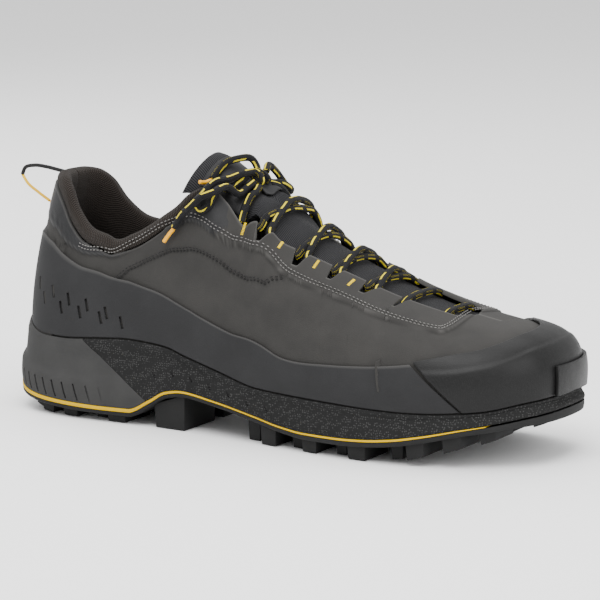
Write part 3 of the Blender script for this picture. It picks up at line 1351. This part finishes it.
@dataclass(frozen=True)
class Lacing:
    """Round lace through the notches between the tabs, tied in a bow with two bright tips."""

    diameter: float = 0.0035
    tip: float = 0.0020
    pitch: float = 0.0007
    low: float = 0.0004
    rise: float = 0.0029
    spread: float = 0.40
    knot: tuple = (0.4375, -0.010, 0.977)
    knot_size: tuple = (0.0034, 0.0016)
    knot_lift: float = 0.0004
    knot_squeeze: float = 0.92
    bar_dip: float = 0.0012
    patch_wall: float = 0.0009

    # The tongue's face under the knot: backwards along it, and away from it
    BACK = np.array([-0.831, 0.0, 0.556])
    UP = np.array([0.556, 0.0, 0.831])
    # Each turn of the knot: sideways from its middle, and lean
    TURNS = ((-0.0019, 0.0010), (0.0017, -0.0012))
    # Bare patches: places along the shoe, arc distances from the middle line, depth under the form
    PATCHES = (("tongue_badge", (0.1215, 0.1290), (-0.0065, 0.0050), 0.0026),
               ("lace_keeper", (0.1315, 0.1385), (-0.0050, 0.0105), 0.0024))
    # Where a strand is led between its two ends, and its share of the lift away from the crossing
    SHARES = (-0.62, -0.36, -0.12, 0.12, 0.36, 0.62)
    LIFT_SHARE = 0.35
    # How a strand ends at a tab: past the throat's edge, depth under the form, away from the tab's end
    END = (
        (0.0030, 0.0017, 0.0004), (0.0018, 0.0016, 0.0013), (0.0000, 0.0011, 0.0020),
        (-0.0032, 0.0005, 0.0022),
    )
    BARS = ((0.7315, 0.0026), (0.796, -0.0006))
    # Routes as shares of the length, the collar width and the instep height
    RISERS = (((0.452, -0.426, 0.824), (0.450, -0.390, 0.844), (0.450, -0.336, 0.880), (0.450, -0.262, 0.917),
               (0.451, -0.176, 0.932), (0.447, -0.100, 0.946)),
              ((0.457, 0.424, 0.826), (0.455, 0.381, 0.847), (0.453, 0.298, 0.891), (0.453, 0.247, 0.913),
               (0.451, 0.162, 0.936), (0.447, 0.080, 0.948)))
    LOOP_LATERAL = (
        (0.433, -0.070, 1.002), (0.426, -0.188, 0.998), (0.413, -0.290, 0.982), (0.402, -0.407, 0.976),
        (0.393, -0.532, 0.934), (0.386, -0.574, 0.902), (0.392, -0.570, 0.876), (0.406, -0.552, 0.890),
        (0.409, -0.514, 0.922), (0.411, -0.400, 0.951), (0.415, -0.290, 0.944), (0.422, -0.192, 0.967),
        (0.426, -0.110, 0.983),
    )
    LOOP_MEDIAL = (
        (0.438, 0.095, 0.994), (0.431, 0.195, 1.012), (0.430, 0.314, 0.984), (0.435, 0.415, 0.931),
        (0.443, 0.441, 0.896), (0.449, 0.403, 0.907), (0.443, 0.297, 0.939), (0.437, 0.212, 0.943),
        (0.436, 0.100, 0.964),
    )
    END_LATERAL = (
        (0.438, -0.105, 0.962), (0.436, -0.193, 0.946), (0.433, -0.301, 0.928), (0.425, -0.415, 0.961),
        (0.417, -0.576, 0.947), (0.398, -0.622, 0.925), (0.387, -0.652, 0.896), (0.360, -0.585, 0.846),
        (0.346, -0.575, 0.798),
    )
    END_MEDIAL = (
        (0.428, 0.050, 0.988), (0.423, 0.078, 1.010), (0.416, 0.055, 1.042), (0.400, -0.044, 1.045),
        (0.389, -0.155, 1.029), (0.386, -0.243, 1.003), (0.384, -0.307, 0.977),
    )
    TIP_LATERAL = ((0.346, -0.575, 0.797), (0.335, -0.578, 0.765), (0.327, -0.583, 0.739))
    TIP_MEDIAL = ((0.384, -0.312, 0.975), (0.380, -0.368, 0.968), (0.376, -0.431, 0.972))

    @staticmethod
    def throat_reach(x: float, side: Side) -> float:
        """Arc distance from the middle line to the throat's edge at a place along the shoe."""
        line, run = Tongue.lines(float(x), side.value)
        half = float(Upper().throat_half(np.array(x)))
        return float(np.interp(half, np.abs(line[:, 0]), run))

    def strand(self, lateral: tuple, medial: tuple, lift: float) -> Array:
        """Middle line of a lace from one tab's end to another's.

        Args:
            lateral: Place along the shoe of the lateral tab's end, and which way the gap lies from it.
            medial: The same on the medial side.
            lift: Height over the lower strand at the middle.

        Returns:
            Points from the lateral to the medial side.
        """
        points = []
        for side, (edge, way) in ((Side.LATERAL, lateral), (Side.MEDIAL, medial)):
            rows = []
            for past, drop, away in self.END:
                x = edge + way * away
                reach = side.value * (self.throat_reach(x, side) + past)
                rows.append(Tongue().on_form(x, np.array([reach]), drop)[0])
            points.append(rows)
        starts = [edge + way * self.END[-1][2] for edge, way in (lateral, medial)]
        middle = []
        for share in self.SHARES:
            x = starts[0] + (share + 1) / 2 * (starts[1] - starts[0])
            side = Side.LATERAL if share < 0 else Side.MEDIAL
            drop = self.low - lift * (self.LIFT_SHARE + math.exp(-(share / self.spread) ** 2))
            middle.append(Tongue().on_form(x, np.array([share * self.throat_reach(x, side)]), drop)[0])
        return np.array(points[0] + middle + points[1][::-1])

    def bar(self, along: float, past: float) -> Array:
        """Middle line of a straight strand across the throat."""
        x = along * LAST.length
        points = []
        for share in np.linspace(-1, 1, 11):
            side = Side.LATERAL if share < 0 else Side.MEDIAL
            reach = share * (self.throat_reach(x, side) + past)
            drop = self.low + self.bar_dip * abs(share) ** 6
            points.append(Tongue().on_form(x, np.array([reach]), drop)[0])
        return np.array(points)

    def build_patches(self) -> None:
        """Sew the bare badge under the knot and the lace keeper in front of it."""
        for name, along, reach, drop in self.PATCHES:
            rows = [Tongue().on_form(x, np.linspace(*reach, 25), drop) for x in np.linspace(*along, 13)]
            piece = put(name, grid_mesh(name, np.array(rows)), "tongue_textile")
            wear(thicken(piece, self.patch_wall, 0.0002), Looks.LEATHER)

    @staticmethod
    def placed(rows: tuple) -> Array:
        """Points of a route from its shares."""
        return np.array(rows) * np.array([LAST.length, LAST.collar_width, LAST.instep_height])

    def lace(self, name: str, path: Array, squeeze: float = 1.0) -> Piece:
        """Length of lace along a path, thinner where it is squeezed."""
        return round_piece(name, path, squeeze * self.diameter, 14, "cord_black", Looks.LACE)

    def build_crossings(self) -> None:
        """Lace the tabs: a crossing in each wide gap, then two straight strands."""
        routes = []
        for before, after in zip(Upper.TABS[:-2], Upper.TABS[1:-1]):
            rear, front = before[1] * LAST.length, after[0] * LAST.length
            routes.append(self.strand((rear, 1), (front, -1), 0.0))
            routes.append(self.strand((front, -1), (rear, 1), self.rise))
        routes += [self.bar(along, past) for along, past in self.BARS]
        routes += [self.placed(rows) for rows in self.RISERS]
        for k, route in enumerate(routes):
            self.lace(f"lace_strand_{k + 1}", resample(route, self.pitch))

    def build_bow(self) -> None:
        """Tie the bow: two loops, two ends and their tips."""
        for name, rows in (("lace_tip_lateral", self.TIP_LATERAL), ("lace_tip_medial", self.TIP_MEDIAL)):
            path = resample(self.placed(rows), self.pitch)
            round_piece(name, path, self.tip, 14, "cord_yellow", Looks.TIP)
        for name, rows, far_end, tip in (
                ("lace_loop_lateral", self.LOOP_LATERAL, "object", None),
                ("lace_loop_medial", self.LOOP_MEDIAL, "object", None),
                ("lace_end_lateral", self.END_LATERAL, "fitting", "lace_tip_lateral"),
                ("lace_end_medial", self.END_MEDIAL, "fitting", "lace_tip_medial")):
            path = resample(self.placed(rows), self.pitch)
            piece = self.lace(name, path)

    def build_knot(self) -> None:
        """Wind the knot's two turns round the strands."""
        angle = np.linspace(0, 2 * math.pi, 60)
        middle = self.placed(self.knot) + self.knot_lift * self.UP
        long, short = self.knot_size
        for k, (shift, lean) in enumerate(self.TURNS):
            ring = np.cos(angle)[:, None] * self.BACK * long + np.sin(angle)[:, None] * self.UP * short
            ring[:, 1] += shift + lean * np.cos(angle)
            self.lace(f"lace_knot_{k + 1}", middle + ring, self.knot_squeeze)


# The sole

@dataclass(frozen=True)
class Sole:
    """Cupped midsole with its grey heel unit, bright layer, plate and lugs."""

    accent: float = 0.0018
    edge_round: float = 0.0002
    plate: float = 0.0026
    rim_wall: float = 0.0014
    slit_width: float = 0.0010
    slit_depth: float = 0.0013
    slit_height: float = 0.0085
    stations: int = 260

    # Level from the accent line to the rim, then how far it stands out at heel and forefoot
    SIDE = Table("level heel fore", [(0.00, 1.36, 1.03), (0.15, 1.46, 1.08), (0.34, 1.40, 1.00),
                                     (0.48, 0.95, 0.86), (0.76, 0.72, 0.62)])
    HEEL_BLEND = (0.24, 0.34)
    TOE_BLEND = (0.86, 0.98)
    TOE_TUCK = 0.22
    JOINT_TOP = (0.165, 0.880)
    JOINT_BASE = (0.325, 0.155)
    # First and last turn, and count, of the heel unit's slits and the midsole's grooves; their tilts
    WEDGE_SLITS = (0.055, 0.325, 13)
    WEDGE_TILT = -18.0
    SIDE_GROOVES = (0.385, 0.555, 7)
    GROOVE_TILT = -36.0
    # Lugs of the edge: place and length as shares of the length, then reach and setback of the width
    LUGS = ((0.060, 0.022, 0.13, 0.04), (0.093, 0.028, 0.22, 0.00), (0.142, 0.030, 0.24, 0.00),
            (0.192, 0.022, 0.20, 0.06), (0.234, 0.036, 0.26, 0.00), (0.338, 0.060, 0.32, 0.00),
            (0.498, 0.026, 0.18, 0.05), (0.536, 0.032, 0.24, 0.00), (0.585, 0.022, 0.20, 0.05),
            (0.617, 0.030, 0.25, 0.00), (0.668, 0.022, 0.20, 0.06), (0.706, 0.034, 0.26, 0.00),
            (0.768, 0.022, 0.20, 0.06), (0.806, 0.030, 0.26, 0.00), (0.862, 0.028, 0.24, 0.00),
            (0.908, 0.022, 0.22, 0.03))
    # Lugs of the middle: place and length, then middle and half width
    CENTRE_LUGS = ((0.090, 0.026, 0.00, 0.055), (0.165, 0.032, 0.00, 0.075), (0.255, 0.030, 0.00, 0.070),
                   (0.575, 0.034, 0.00, 0.085), (0.655, 0.034, -0.02, 0.100), (0.740, 0.034, -0.03, 0.110),
                   (0.825, 0.034, -0.02, 0.110), (0.895, 0.028, -0.01, 0.090), (0.945, 0.024, 0.00, 0.070))

    def turns(self, last: float = 1.0) -> Array:
        """Turns of a ring: the lateral side from the heel, then the medial side back to it."""
        lateral = np.linspace(0, last, self.stations)
        return np.concatenate([lateral, 2 - lateral[::-1]])

    def out(self, turn: Array, heel_out: float, fore_out: float) -> Array:
        """How far a level of the side stands out, from the stepped heel to the forefoot."""
        fold = LAST.fold(turn)
        heel = np.clip((self.HEEL_BLEND[1] - fold) / (self.HEEL_BLEND[1] - self.HEEL_BLEND[0]), 0, 1)
        toe = np.clip((fold - self.TOE_BLEND[0]) / (self.TOE_BLEND[1] - self.TOE_BLEND[0]), 0, 1)
        return LAST.sole_flare * (heel * heel_out + (1 - heel) * fore_out) * (1 - self.TOE_TUCK * toe)

    def accent_half(self, x: Array) -> Array:
        """Half the thickness of the bright layer."""
        return 0.5 * LAST.sole("accent", x) * self.accent

    def accent_top(self, x: Array) -> Array:
        """Height of the top of the bright layer."""
        return LAST.layer("line", x) + self.accent_half(x)

    def rings(self) -> Array:
        """Rings of the cupped midsole: up its side in eased steps, over the rim and down to the footbed."""
        turns = self.turns()
        rim = LAST.rim(turns)
        rings = []
        for level in np.linspace(0, 0.76, 27):
            outs = (self.SIDE.at(name, level) for name in ("heel", "fore"))
            x, y, _, _ = LAST.outline(turns, self.out(turns, *outs))
            base = self.accent_top(x) + LAST.clearance
            rings.append(np.stack([x, y, base + level * (rim - base)], -1))
        at_rim = LAST.form(turns, LAST.rise_at_height(turns, rim))
        _, _, nx, ny = LAST.outline(turns)
        away = np.stack([nx, ny, np.zeros_like(nx)], -1)
        up = np.array([0, 0, 1.0])
        shoulder = at_rim + (LAST.gap + self.rim_wall) * away
        for share in (0.4, 0.75, 0.93):
            swell = 0.0004 * math.sin(math.pi * share)
            rings.append(rings[26] + share * (shoulder - rings[26]) + swell * away)
        for out, drop in ((0.8, 0.0), (0.4, 0.0), (0.0, 0.0004)):
            rings.append(at_rim + (LAST.gap + out * self.rim_wall) * away - drop * up)
        x, y, _, _ = LAST.outline(turns, LAST.gap)
        rings.append(np.stack([x, y, LAST.layer("footbed", x)], -1))
        return np.stack(rings)

    def joint_plane(self, side: int) -> tuple:
        """A point and the forward direction of the heel unit's joint, half a clearance to one side."""
        top = Vector((self.JOINT_TOP[0] * LAST.length, 0, self.JOINT_TOP[1] * LAST.sole_height))
        base = Vector((self.JOINT_BASE[0] * LAST.length, 0, self.JOINT_BASE[1] * LAST.sole_height))
        ahead = (base - top).cross(Vector((0, 1, 0))).normalized()
        ahead = ahead if ahead.x > 0 else -ahead
        return (top + base) / 2 + ahead * side * LAST.clearance / 2 + Vector(HEEL_ORIGIN), ahead

    def part_of(self, name: str, rings: Array, front: bool) -> bpy.types.Mesh:
        """The midsole in front of the joint, or the heel unit behind it."""
        mesh = stack_mesh(name, rings)
        work = bmesh.new()
        work.from_mesh(mesh)
        place, ahead = self.joint_plane(1 if front else -1)
        cut = bmesh.ops.bisect_plane(work, geom=work.verts[:] + work.edges[:] + work.faces[:], plane_co=place,
                                     plane_no=ahead, clear_inner=front, clear_outer=not front)
        rim = [item for item in cut["geom_cut"] if isinstance(item, bmesh.types.BMEdge)]
        bmesh.ops.triangle_fill(work, edges=rim, use_beauty=True)
        bmesh.ops.recalc_face_normals(work, faces=work.faces)
        work.to_mesh(mesh)
        work.free()
        return mesh

    def slanted_boxes(self, turns: Array, middle: object, height: float, tilt: float, out: float,
                      depth: float) -> list:
        """Slanted boxes set into the side at turns of both sides."""
        meshes = []
        for turn in np.concatenate([turns, 2 - turns]):
            size = (self.slit_width, 3 * self.slit_depth, height)
            x, y, nx, ny = (float(v) for v in LAST.outline(turn, out - depth + size[1] / 2))
            yaw = math.atan2(ny, nx) - math.pi / 2
            lean = math.radians(tilt if turn > 1 else -tilt)
            matrix = (Matrix.Translation((x, y, float(middle(turn, x)))) @ Matrix.Rotation(yaw, 4, "Z")
                      @ Matrix.Rotation(lean, 4, "Y"))
            meshes.append(box_mesh(size, matrix))
        return meshes

    def build_midsole(self) -> None:
        """Make the dark midsole with its slanted grooves and the grey heel unit with its slits."""
        rings = self.rings()
        midsole = put("midsole_body", self.part_of("midsole_body", rings, True), "midsole_foam", "midsole")
        wedge = put("wedge_body", self.part_of("wedge_body", rings, False), "wedge_foam", "heel_wedge")
        subtract(wedge, self.slanted_boxes(
            np.linspace(*self.WEDGE_SLITS), lambda turn, x: self.accent_top(x) + 0.62 * self.slit_height,
            self.slit_height, self.WEDGE_TILT, 1.46 * LAST.sole_flare, self.slit_depth))
        subtract(midsole, self.slanted_boxes(
            np.linspace(*self.SIDE_GROOVES), lambda turn, x: 0.5 * (self.accent_top(x) + LAST.rim(turn)),
            0.75 * self.slit_height, self.GROOVE_TILT, LAST.sole_flare, 0.6 * self.slit_depth))
        wear(midsole, Looks.MIDSOLE)
        wear(wedge, Looks.WEDGE)

    def edge_line(self, turns: Array) -> tuple:
        """Plan of the edge that the sole's layers share."""
        x, y, _, _ = LAST.outline(turns, self.out(turns, *self.SIDE.data[0, 1:]))
        return x, y

    def build_accent(self) -> None:
        """Make the bright layer, with its edge slightly rounded."""
        x, y = self.edge_line(self.turns(30 / 34))
        line, half = LAST.layer("line", x), self.accent_half(x)
        levels = [(-1, 0), (-0.6, 1), (0.6, 1), (1, 0)]
        middle = np.array([0.45 * LAST.length, 0.0])
        away = np.stack([x, y], -1) - middle
        away /= np.linalg.norm(away, axis=1)[:, None]
        rings = [np.stack([x + out * self.edge_round * away[:, 0], y + out * self.edge_round * away[:, 1],
                           line + level * half], -1) for level, out in levels]
        mesh = stack_mesh("accent_line", np.stack(rings))
        mesh.set_sharp_from_angle(angle=math.radians(40))
        wear(put("accent_line", mesh, "accent_foam", "accent_layer"), Looks.ACCENT)

    def plate_top(self, x: Array) -> Array:
        """Height of the top of the outsole's plate."""
        return LAST.layer("line", x) - self.accent_half(x) - LAST.clearance

    def lug(self, x_ends: tuple, outer: tuple, inner: tuple) -> bpy.types.Mesh:
        """One lug with drafted sides, rounded edges and a sipe across its foot."""
        work = bmesh.new()
        corners = {}
        for k, x in enumerate(x_ends):
            root = float(self.plate_top(x) - 0.5 * LAST.sole("plate", x) * self.plate)
            foot = float(LAST.layer("tread", x))
            for low, z in ((0, root), (1, foot)):
                pull = 0.0006 * low
                shift = pull * (1 if k == 0 else -1)
                way = 1 if outer[k] < inner[k] else -1
                corners[k, 0, low] = work.verts.new((x + shift, outer[k] + way * pull, z))
                corners[k, 1, low] = work.verts.new((x + shift, inner[k] - way * pull, z))
        loops = (((0, 0, 0), (0, 1, 0), (1, 1, 0), (1, 0, 0)), ((0, 0, 1), (1, 0, 1), (1, 1, 1), (0, 1, 1)),
                 ((0, 0, 0), (1, 0, 0), (1, 0, 1), (0, 0, 1)), ((0, 1, 0), (0, 1, 1), (1, 1, 1), (1, 1, 0)),
                 ((0, 0, 0), (0, 0, 1), (0, 1, 1), (0, 1, 0)), ((1, 0, 0), (1, 1, 0), (1, 1, 1), (1, 0, 1)))
        for loop in loops:
            work.faces.new([corners[key] for key in loop])
        bmesh.ops.recalc_face_normals(work, faces=work.faces)
        bmesh.ops.bevel(work, geom=work.edges[:], offset=0.0005, segments=2, profile=0.6, affect="EDGES")
        bmesh.ops.translate(work, verts=work.verts, vec=HEEL_ORIGIN)
        return close(work, "lug")

    def build_outsole(self) -> None:
        """Make the plate and set the lugs under it."""
        turns = self.turns()
        x, y = self.edge_line(turns)
        under_x, under_y, _, _ = LAST.outline(turns, 0.75 * LAST.sole_flare)
        top = self.plate_top(x)
        thick = LAST.sole("plate", x) * self.plate
        rings = [np.stack([x, y, top], -1), np.stack([x, y, top - 0.35 * thick], -1),
                 np.stack([x, y, top - 0.5 * thick], -1)]
        low = self.plate_top(under_x) - LAST.sole("plate", under_x) * self.plate
        half_way = 0.5 * (top - 0.5 * thick + low) - 0.0002
        rings.append(np.stack([0.5 * (x + under_x), 0.5 * (y + under_y), half_way], -1))
        rings.append(np.stack([under_x, under_y, low], -1))
        work = bmesh.new()
        work.from_mesh(stack_mesh("plate", np.stack(rings)))
        for side in Side:
            for along, length, reach, set_in in self.LUGS:
                ends = tuple((along + k * length / 2) * LAST.length for k in (-1, 1))
                turn = np.interp(ends, LAST.flare_line()[1], LAST.flare_line()[0])
                turn = turn if side is Side.LATERAL else 2 - turn
                edge = LAST.outline(turn, 0.5 * LAST.sole_flare)[1]
                outer = edge - side.value * set_in * LAST.ball_width
                work.from_mesh(self.lug(ends, outer, outer - side.value * reach * LAST.ball_width))
        for along, length, offset, half in self.CENTRE_LUGS:
            ends = tuple((along + k * length / 2) * LAST.length for k in (-1, 1))
            low_y, high_y = ((offset + k * half) * LAST.ball_width for k in (-1, 1))
            work.from_mesh(self.lug(ends, (low_y, low_y), (high_y, high_y)))
        mesh = close(work, "outsole_tread")
        mesh.set_sharp_from_angle(angle=math.radians(35))
        wear(put("outsole_tread", mesh, "outsole_rubber", "outsole"), Looks.OUTSOLE)


# Overlays on the upper

@dataclass(frozen=True)
class Trim:
    """Side band, toe cap and bumper: sheets held off the upper's own form."""

    band_thickness: float = 0.0009
    cap_thickness: float = 0.0014
    bumper_thickness: float = 0.0016
    lift: float = 0.0010
    setback: float = 0.004
    cap_rear_top: float = 0.775
    cap_rear_base: float = 0.850
    slot_size: tuple = (0.0017, 0.0054, 0.0062)
    slot_tilt: float = 14.0
    slot_shift: float = 0.026

    BAND_TOP = Table("turn rise", [(0.00, 0.62), (0.12, 0.655), (0.18, 0.675), (0.24, 0.70), (0.30, 0.71),
                                   (0.34, 0.655), (0.38, 0.55), (0.425, 0.41), (0.46, 0.31),
                                   (0.535, 0.20), (0.58, 0.18), (0.655, 0.22), (0.73, 0.29), (0.80, 0.375)])
    CAP_TOP = Table("turn lateral medial", [(0.76, 0.33, 0.33), (0.80, 0.40, 0.45), (0.855, 0.49, 0.64),
                                            (0.90, 0.58, 0.765), (0.945, 0.67, 0.785),
                                            (1.00, 0.745, 0.745)])
    SLOTS = ((0.140, 0.385, 0.325), (0.190, 0.405, 0.330), (0.232, 0.415, 0.350), (0.272, 0.420, 0.350),
             (0.308, 0.400, 0.330))
    # Shoulder of the cap where its gloss starts: turn and rise
    SHOULDER = Table("turn rise", [(0.77, 0.27), (0.785, 0.28), (0.83, 0.30), (0.87, 0.34), (0.915, 0.39),
                                   (0.965, 0.47), (1.00, 0.50), (1.06, 0.46), (1.13, 0.40), (1.25, 0.30)])

    def overlay(self, name: str, slot: str, node_name: str, turns: tuple, low: Array, high: Array,
                levels: int, thickness: float, lift: float = 0.0, relief: object = None) -> Piece:
        """Sheet over the upper between two rises, with its rim rounded off.

        Args:
            name: The piece's name.
            slot: Its material slot.
            node_name: The solid that it stands for.
            turns: Turns of the lower and of the upper edge.
            low: Rises of the lower edge.
            high: Rises of the upper edge.
            levels: Rows of quads.
            thickness: Thickness of the sheet.
            lift: Extra distance from the upper.
            relief: Function of turn and rise that gives further height.

        Returns:
            The piece.
        """
        share = np.concatenate([[0.0], np.linspace(0.012, 0.988, levels - 1), [1.0]])[:, None]
        turn = turns[0] + (turns[1] - turns[0]) * share
        rise = low + (high - low) * share
        height = LAST.gap + lift + thickness + (relief(turn, rise) if relief else 0.0)
        worn = np.broadcast_to(np.where(share > 0.98, 0.45, 0.0), turn.shape)
        mesh = grid_mesh(name, LAST.face(turn, rise, height), values={"worn": worn, "groove": worn * 0})
        piece = put(name, mesh, slot, node_name)
        return thicken(piece, thickness, min(0.0003, 0.3 * thickness))

    def build_band(self) -> None:
        """Make the band round the heel and along both sides, and cut its two rows of slots."""
        share = np.linspace(-1, 1, 421)
        place = np.abs(share) ** 1.1
        base, top = (np.where(share > 0, 2 - end * place, end * place)
                     for end in (self.cap_rear_base - self.setback, self.cap_rear_top - self.setback))
        low = LAST.rise_at_height(base, LAST.rim(base) + self.lift)
        high = self.BAND_TOP.at("rise", LAST.fold(top))
        piece = self.overlay("band", "band_microfibre", "side_band", (base, top), low, high, 22,
                             self.band_thickness)
        boxes = []
        for turn, upper, lower in self.SLOTS:
            for at, rise in ((turn, upper), (turn + self.slot_shift, lower)):
                boxes.append(self.slot_box(at, rise, self.slot_tilt))
                boxes.append(self.slot_box(2 - at, rise, -self.slot_tilt))
        subtract(piece, boxes)
        wear(piece, Looks.BAND)

    def slot_box(self, turn: float, rise: float, tilt: float) -> bpy.types.Mesh:
        """Slanted box through the band at one place."""
        here = LAST.face(np.array([turn]), np.array([rise]), LAST.gap)[0]
        _, _, nx, ny = (float(v) for v in LAST.outline(turn))
        matrix = (Matrix.Translation(here) @ Matrix.Rotation(math.atan2(ny, nx) - math.pi / 2, 4, "Z")
                  @ Matrix.Rotation(math.radians(tilt), 4, "Y"))
        return box_mesh(self.slot_size, matrix)

    def cap_relief(self, turn: Array, rise: Array) -> Array:
        """Soft shoulder that runs round the cap, thicker below it."""
        low = rise - self.SHOULDER.at("rise", turn)
        return 0.0005 * (1 - smooth((low + 0.01) / 0.05))

    def build_cap(self) -> None:
        """Make the toe cap."""
        share = np.linspace(-1, 1, 181)
        base, top = 1 + share * (1 - self.cap_rear_base), 1 + share * (1 - self.cap_rear_top)
        low = LAST.rise_at_height(base, LAST.rim(base) + self.lift)
        lateral, medial = (self.CAP_TOP.at(side, LAST.fold(top)) for side in ("lateral", "medial"))
        high = np.where(share < 0, lateral, medial)
        piece = self.overlay("cap", "cap_rubber", "toe_cap", (base, top), low, high, 40, self.cap_thickness,
                             relief=self.cap_relief)
        wear(piece, Looks.CAP)

    def build_bumper(self) -> None:
        """Make the thicker guard on the tip of the cap."""
        turns = np.linspace(0.978, 1.065, 60)
        low = LAST.rise_at_height(turns, LAST.rim(turns) + self.lift)
        high = LAST.rise_at_height(turns, np.full(len(turns), 0.98 * LAST.sole_height))
        piece = self.overlay("bumper", "cap_rubber", "toe_bumper", (turns, turns), low, high, 14,
                             self.bumper_thickness, self.cap_thickness + LAST.clearance + 0.0005)
        wear(piece, Looks.CAP)


@dataclass(frozen=True)
class PullLoop:
    """Cord loop behind the heel in a black sleeve, with the knot that ends it."""

    diameter: float = 0.0019
    knot: float = 0.0042
    stretch: float = 1.35
    # Shares of the length and of the collar height
    ROUTE = ((0.0672, 0.976), (0.048, 0.984), (0.026, 0.992), (0.004, 0.994), (-0.015, 0.980),
             (-0.0205, 0.952), (-0.010, 0.916), (0.010, 0.882), (0.0335, 0.8480))
    SLEEVE_END = 5
    KNOT = (0.0424, 0.838)

    def build(self) -> None:
        """Make the sleeve, the cord and the knot."""
        points = np.array([(a * LAST.length, 0.0, h * LAST.collar_height) for a, h in self.ROUTE])
        sleeve = resample(points[:self.SLEEVE_END + 1], 0.0006)
        cord = resample(points[self.SLEEVE_END:], 0.0006)
        round_piece("loop_sleeve", sleeve, self.diameter, 14, "cord_black", Looks.SLEEVE, "pull_sleeve")
        round_piece("loop_cord", cord, 0.75 * self.diameter, 12, "cord_yellow", Looks.CORD, "pull_cord")
        turn = np.linspace(0, 2 * math.pi, 160, endpoint=False)
        ring = 0.34 * self.knot
        knot = np.stack([np.sin(turn) + 2 * np.sin(2 * turn), np.cos(turn) - 2 * np.cos(2 * turn),
                         -np.sin(3 * turn)], -1) * ring / 2.6
        knot = knot * np.array([self.stretch * 0.8, 0.8, 1.0])
        knot += np.array([self.KNOT[0] * LAST.length, 0, self.KNOT[1] * LAST.collar_height])
        knot = np.concatenate([knot, knot[:1]])
        round_piece("loop_knot", knot, 0.48 * self.knot, 10, "cord_yellow", Looks.CORD, "pull_knot")


# The set

@dataclass(frozen=True)
class Studio:
    """Camera of the photograph, pale floor and soft light."""

    azimuth: float = 29.5
    elevation: float = 10.0
    distance: float = 1.6
    lens: float = 200.2
    target: tuple = (0.1533, 0.0, 0.0622)

    # Name, place, size and power of each lamp
    LAMPS = (("key", (0.15, -0.75, 1.25), (1.1, 0.8), 22.0), ("top", (0.0, 0.25, 1.4), (1.2, 1.2), 14.0),
             ("front", (1.3, -0.35, 0.7), (0.7, 0.9), 9.0), ("rear", (-1.1, 0.5, 0.8), (0.7, 0.7), 8.0))

    def build(self) -> None:
        """Set up the camera, the floor, the world and the lamps."""
        scene = bpy.context.scene
        azimuth, elevation = math.radians(self.azimuth), math.radians(self.elevation)
        back = Vector((math.sin(azimuth) * math.cos(elevation), -math.cos(azimuth) * math.cos(elevation),
                       math.sin(elevation)))
        target = Vector(self.target) + Vector(HEEL_ORIGIN)
        data = bpy.data.cameras.new("camera")
        data.lens, data.sensor_width = self.lens, 36.0
        data.clip_start, data.clip_end = 0.05, 20.0
        camera = bpy.data.objects.new("camera", data)
        camera.location = target + back * self.distance
        camera.rotation_euler = (-back).to_track_quat("-Z", "Y").to_euler()
        scene.collection.objects.link(camera)
        scene.camera = camera
        mesh = bpy.data.meshes.new("floor")
        mesh.from_pydata([(-4, -4, 0), (4, -4, 0), (4, 4, 0), (-4, 4, 0)], [], [(0, 1, 2, 3)])
        floor = bpy.data.objects.new("floor", mesh)
        floor.location.z = -0.0002
        scene.collection.objects.link(floor)
        paper = bpy.data.materials.new("paper")
        paper.use_nodes = True
        shader = paper.node_tree.nodes["Principled BSDF"]
        shader.inputs["Base Color"].default_value = (0.93, 0.93, 0.93, 1)
        shader.inputs["Roughness"].default_value = 0.9
        mesh.materials.append(paper)
        world = bpy.data.worlds.new("world")
        world.use_nodes = True
        world.node_tree.nodes["Background"].inputs["Color"].default_value = (1, 1, 1, 1)
        world.node_tree.nodes["Background"].inputs["Strength"].default_value = 1.15
        scene.world = world
        for row in self.LAMPS:
            self.lamp(*row)

    @staticmethod
    def lamp(name: str, place: tuple, size: tuple, power: float) -> None:
        """Rectangular lamp that looks at the shoe."""
        data = bpy.data.lights.new(name, "AREA")
        data.shape = "RECTANGLE"
        data.size, data.size_y = size
        data.energy = power
        lamp = bpy.data.objects.new(name, data)
        lamp.location = place
        lamp.rotation_euler = (Vector((0, 0, 0.05)) - Vector(place)).to_track_quat("-Z", "Y").to_euler()
        bpy.context.scene.collection.objects.link(lamp)


def main() -> None:
    """Build every sub-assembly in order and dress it."""
    logging.basicConfig(level=logging.INFO, format="%(message)s")
    Studio().build()
    for make in (make_grain, make_ribs, make_dots, make_braid, make_blotches):
        make()
    upper, sole, trim = Upper(), Sole(), Trim()
    upper.build()
    upper.build_stitches()
    Collar().build()
    tongue = Tongue()
    tongue.build()
    tongue.build_panel()
    upper.build_bartacks()
    lacing = Lacing()
    lacing.build_crossings()
    lacing.build_bow()
    lacing.build_knot()
    lacing.build_patches()
    insole = bpy.data.objects["insole"]
    insole.data.materials.clear()
    insole.data.materials.append(material(Looks.INSOLE.value))
    sole.build_midsole()
    sole.build_accent()
    sole.build_outsole()
    trim.build_band()
    trim.build_cap()
    trim.build_bumper()
    PullLoop().build()


if __name__ == "__main__":
    main()
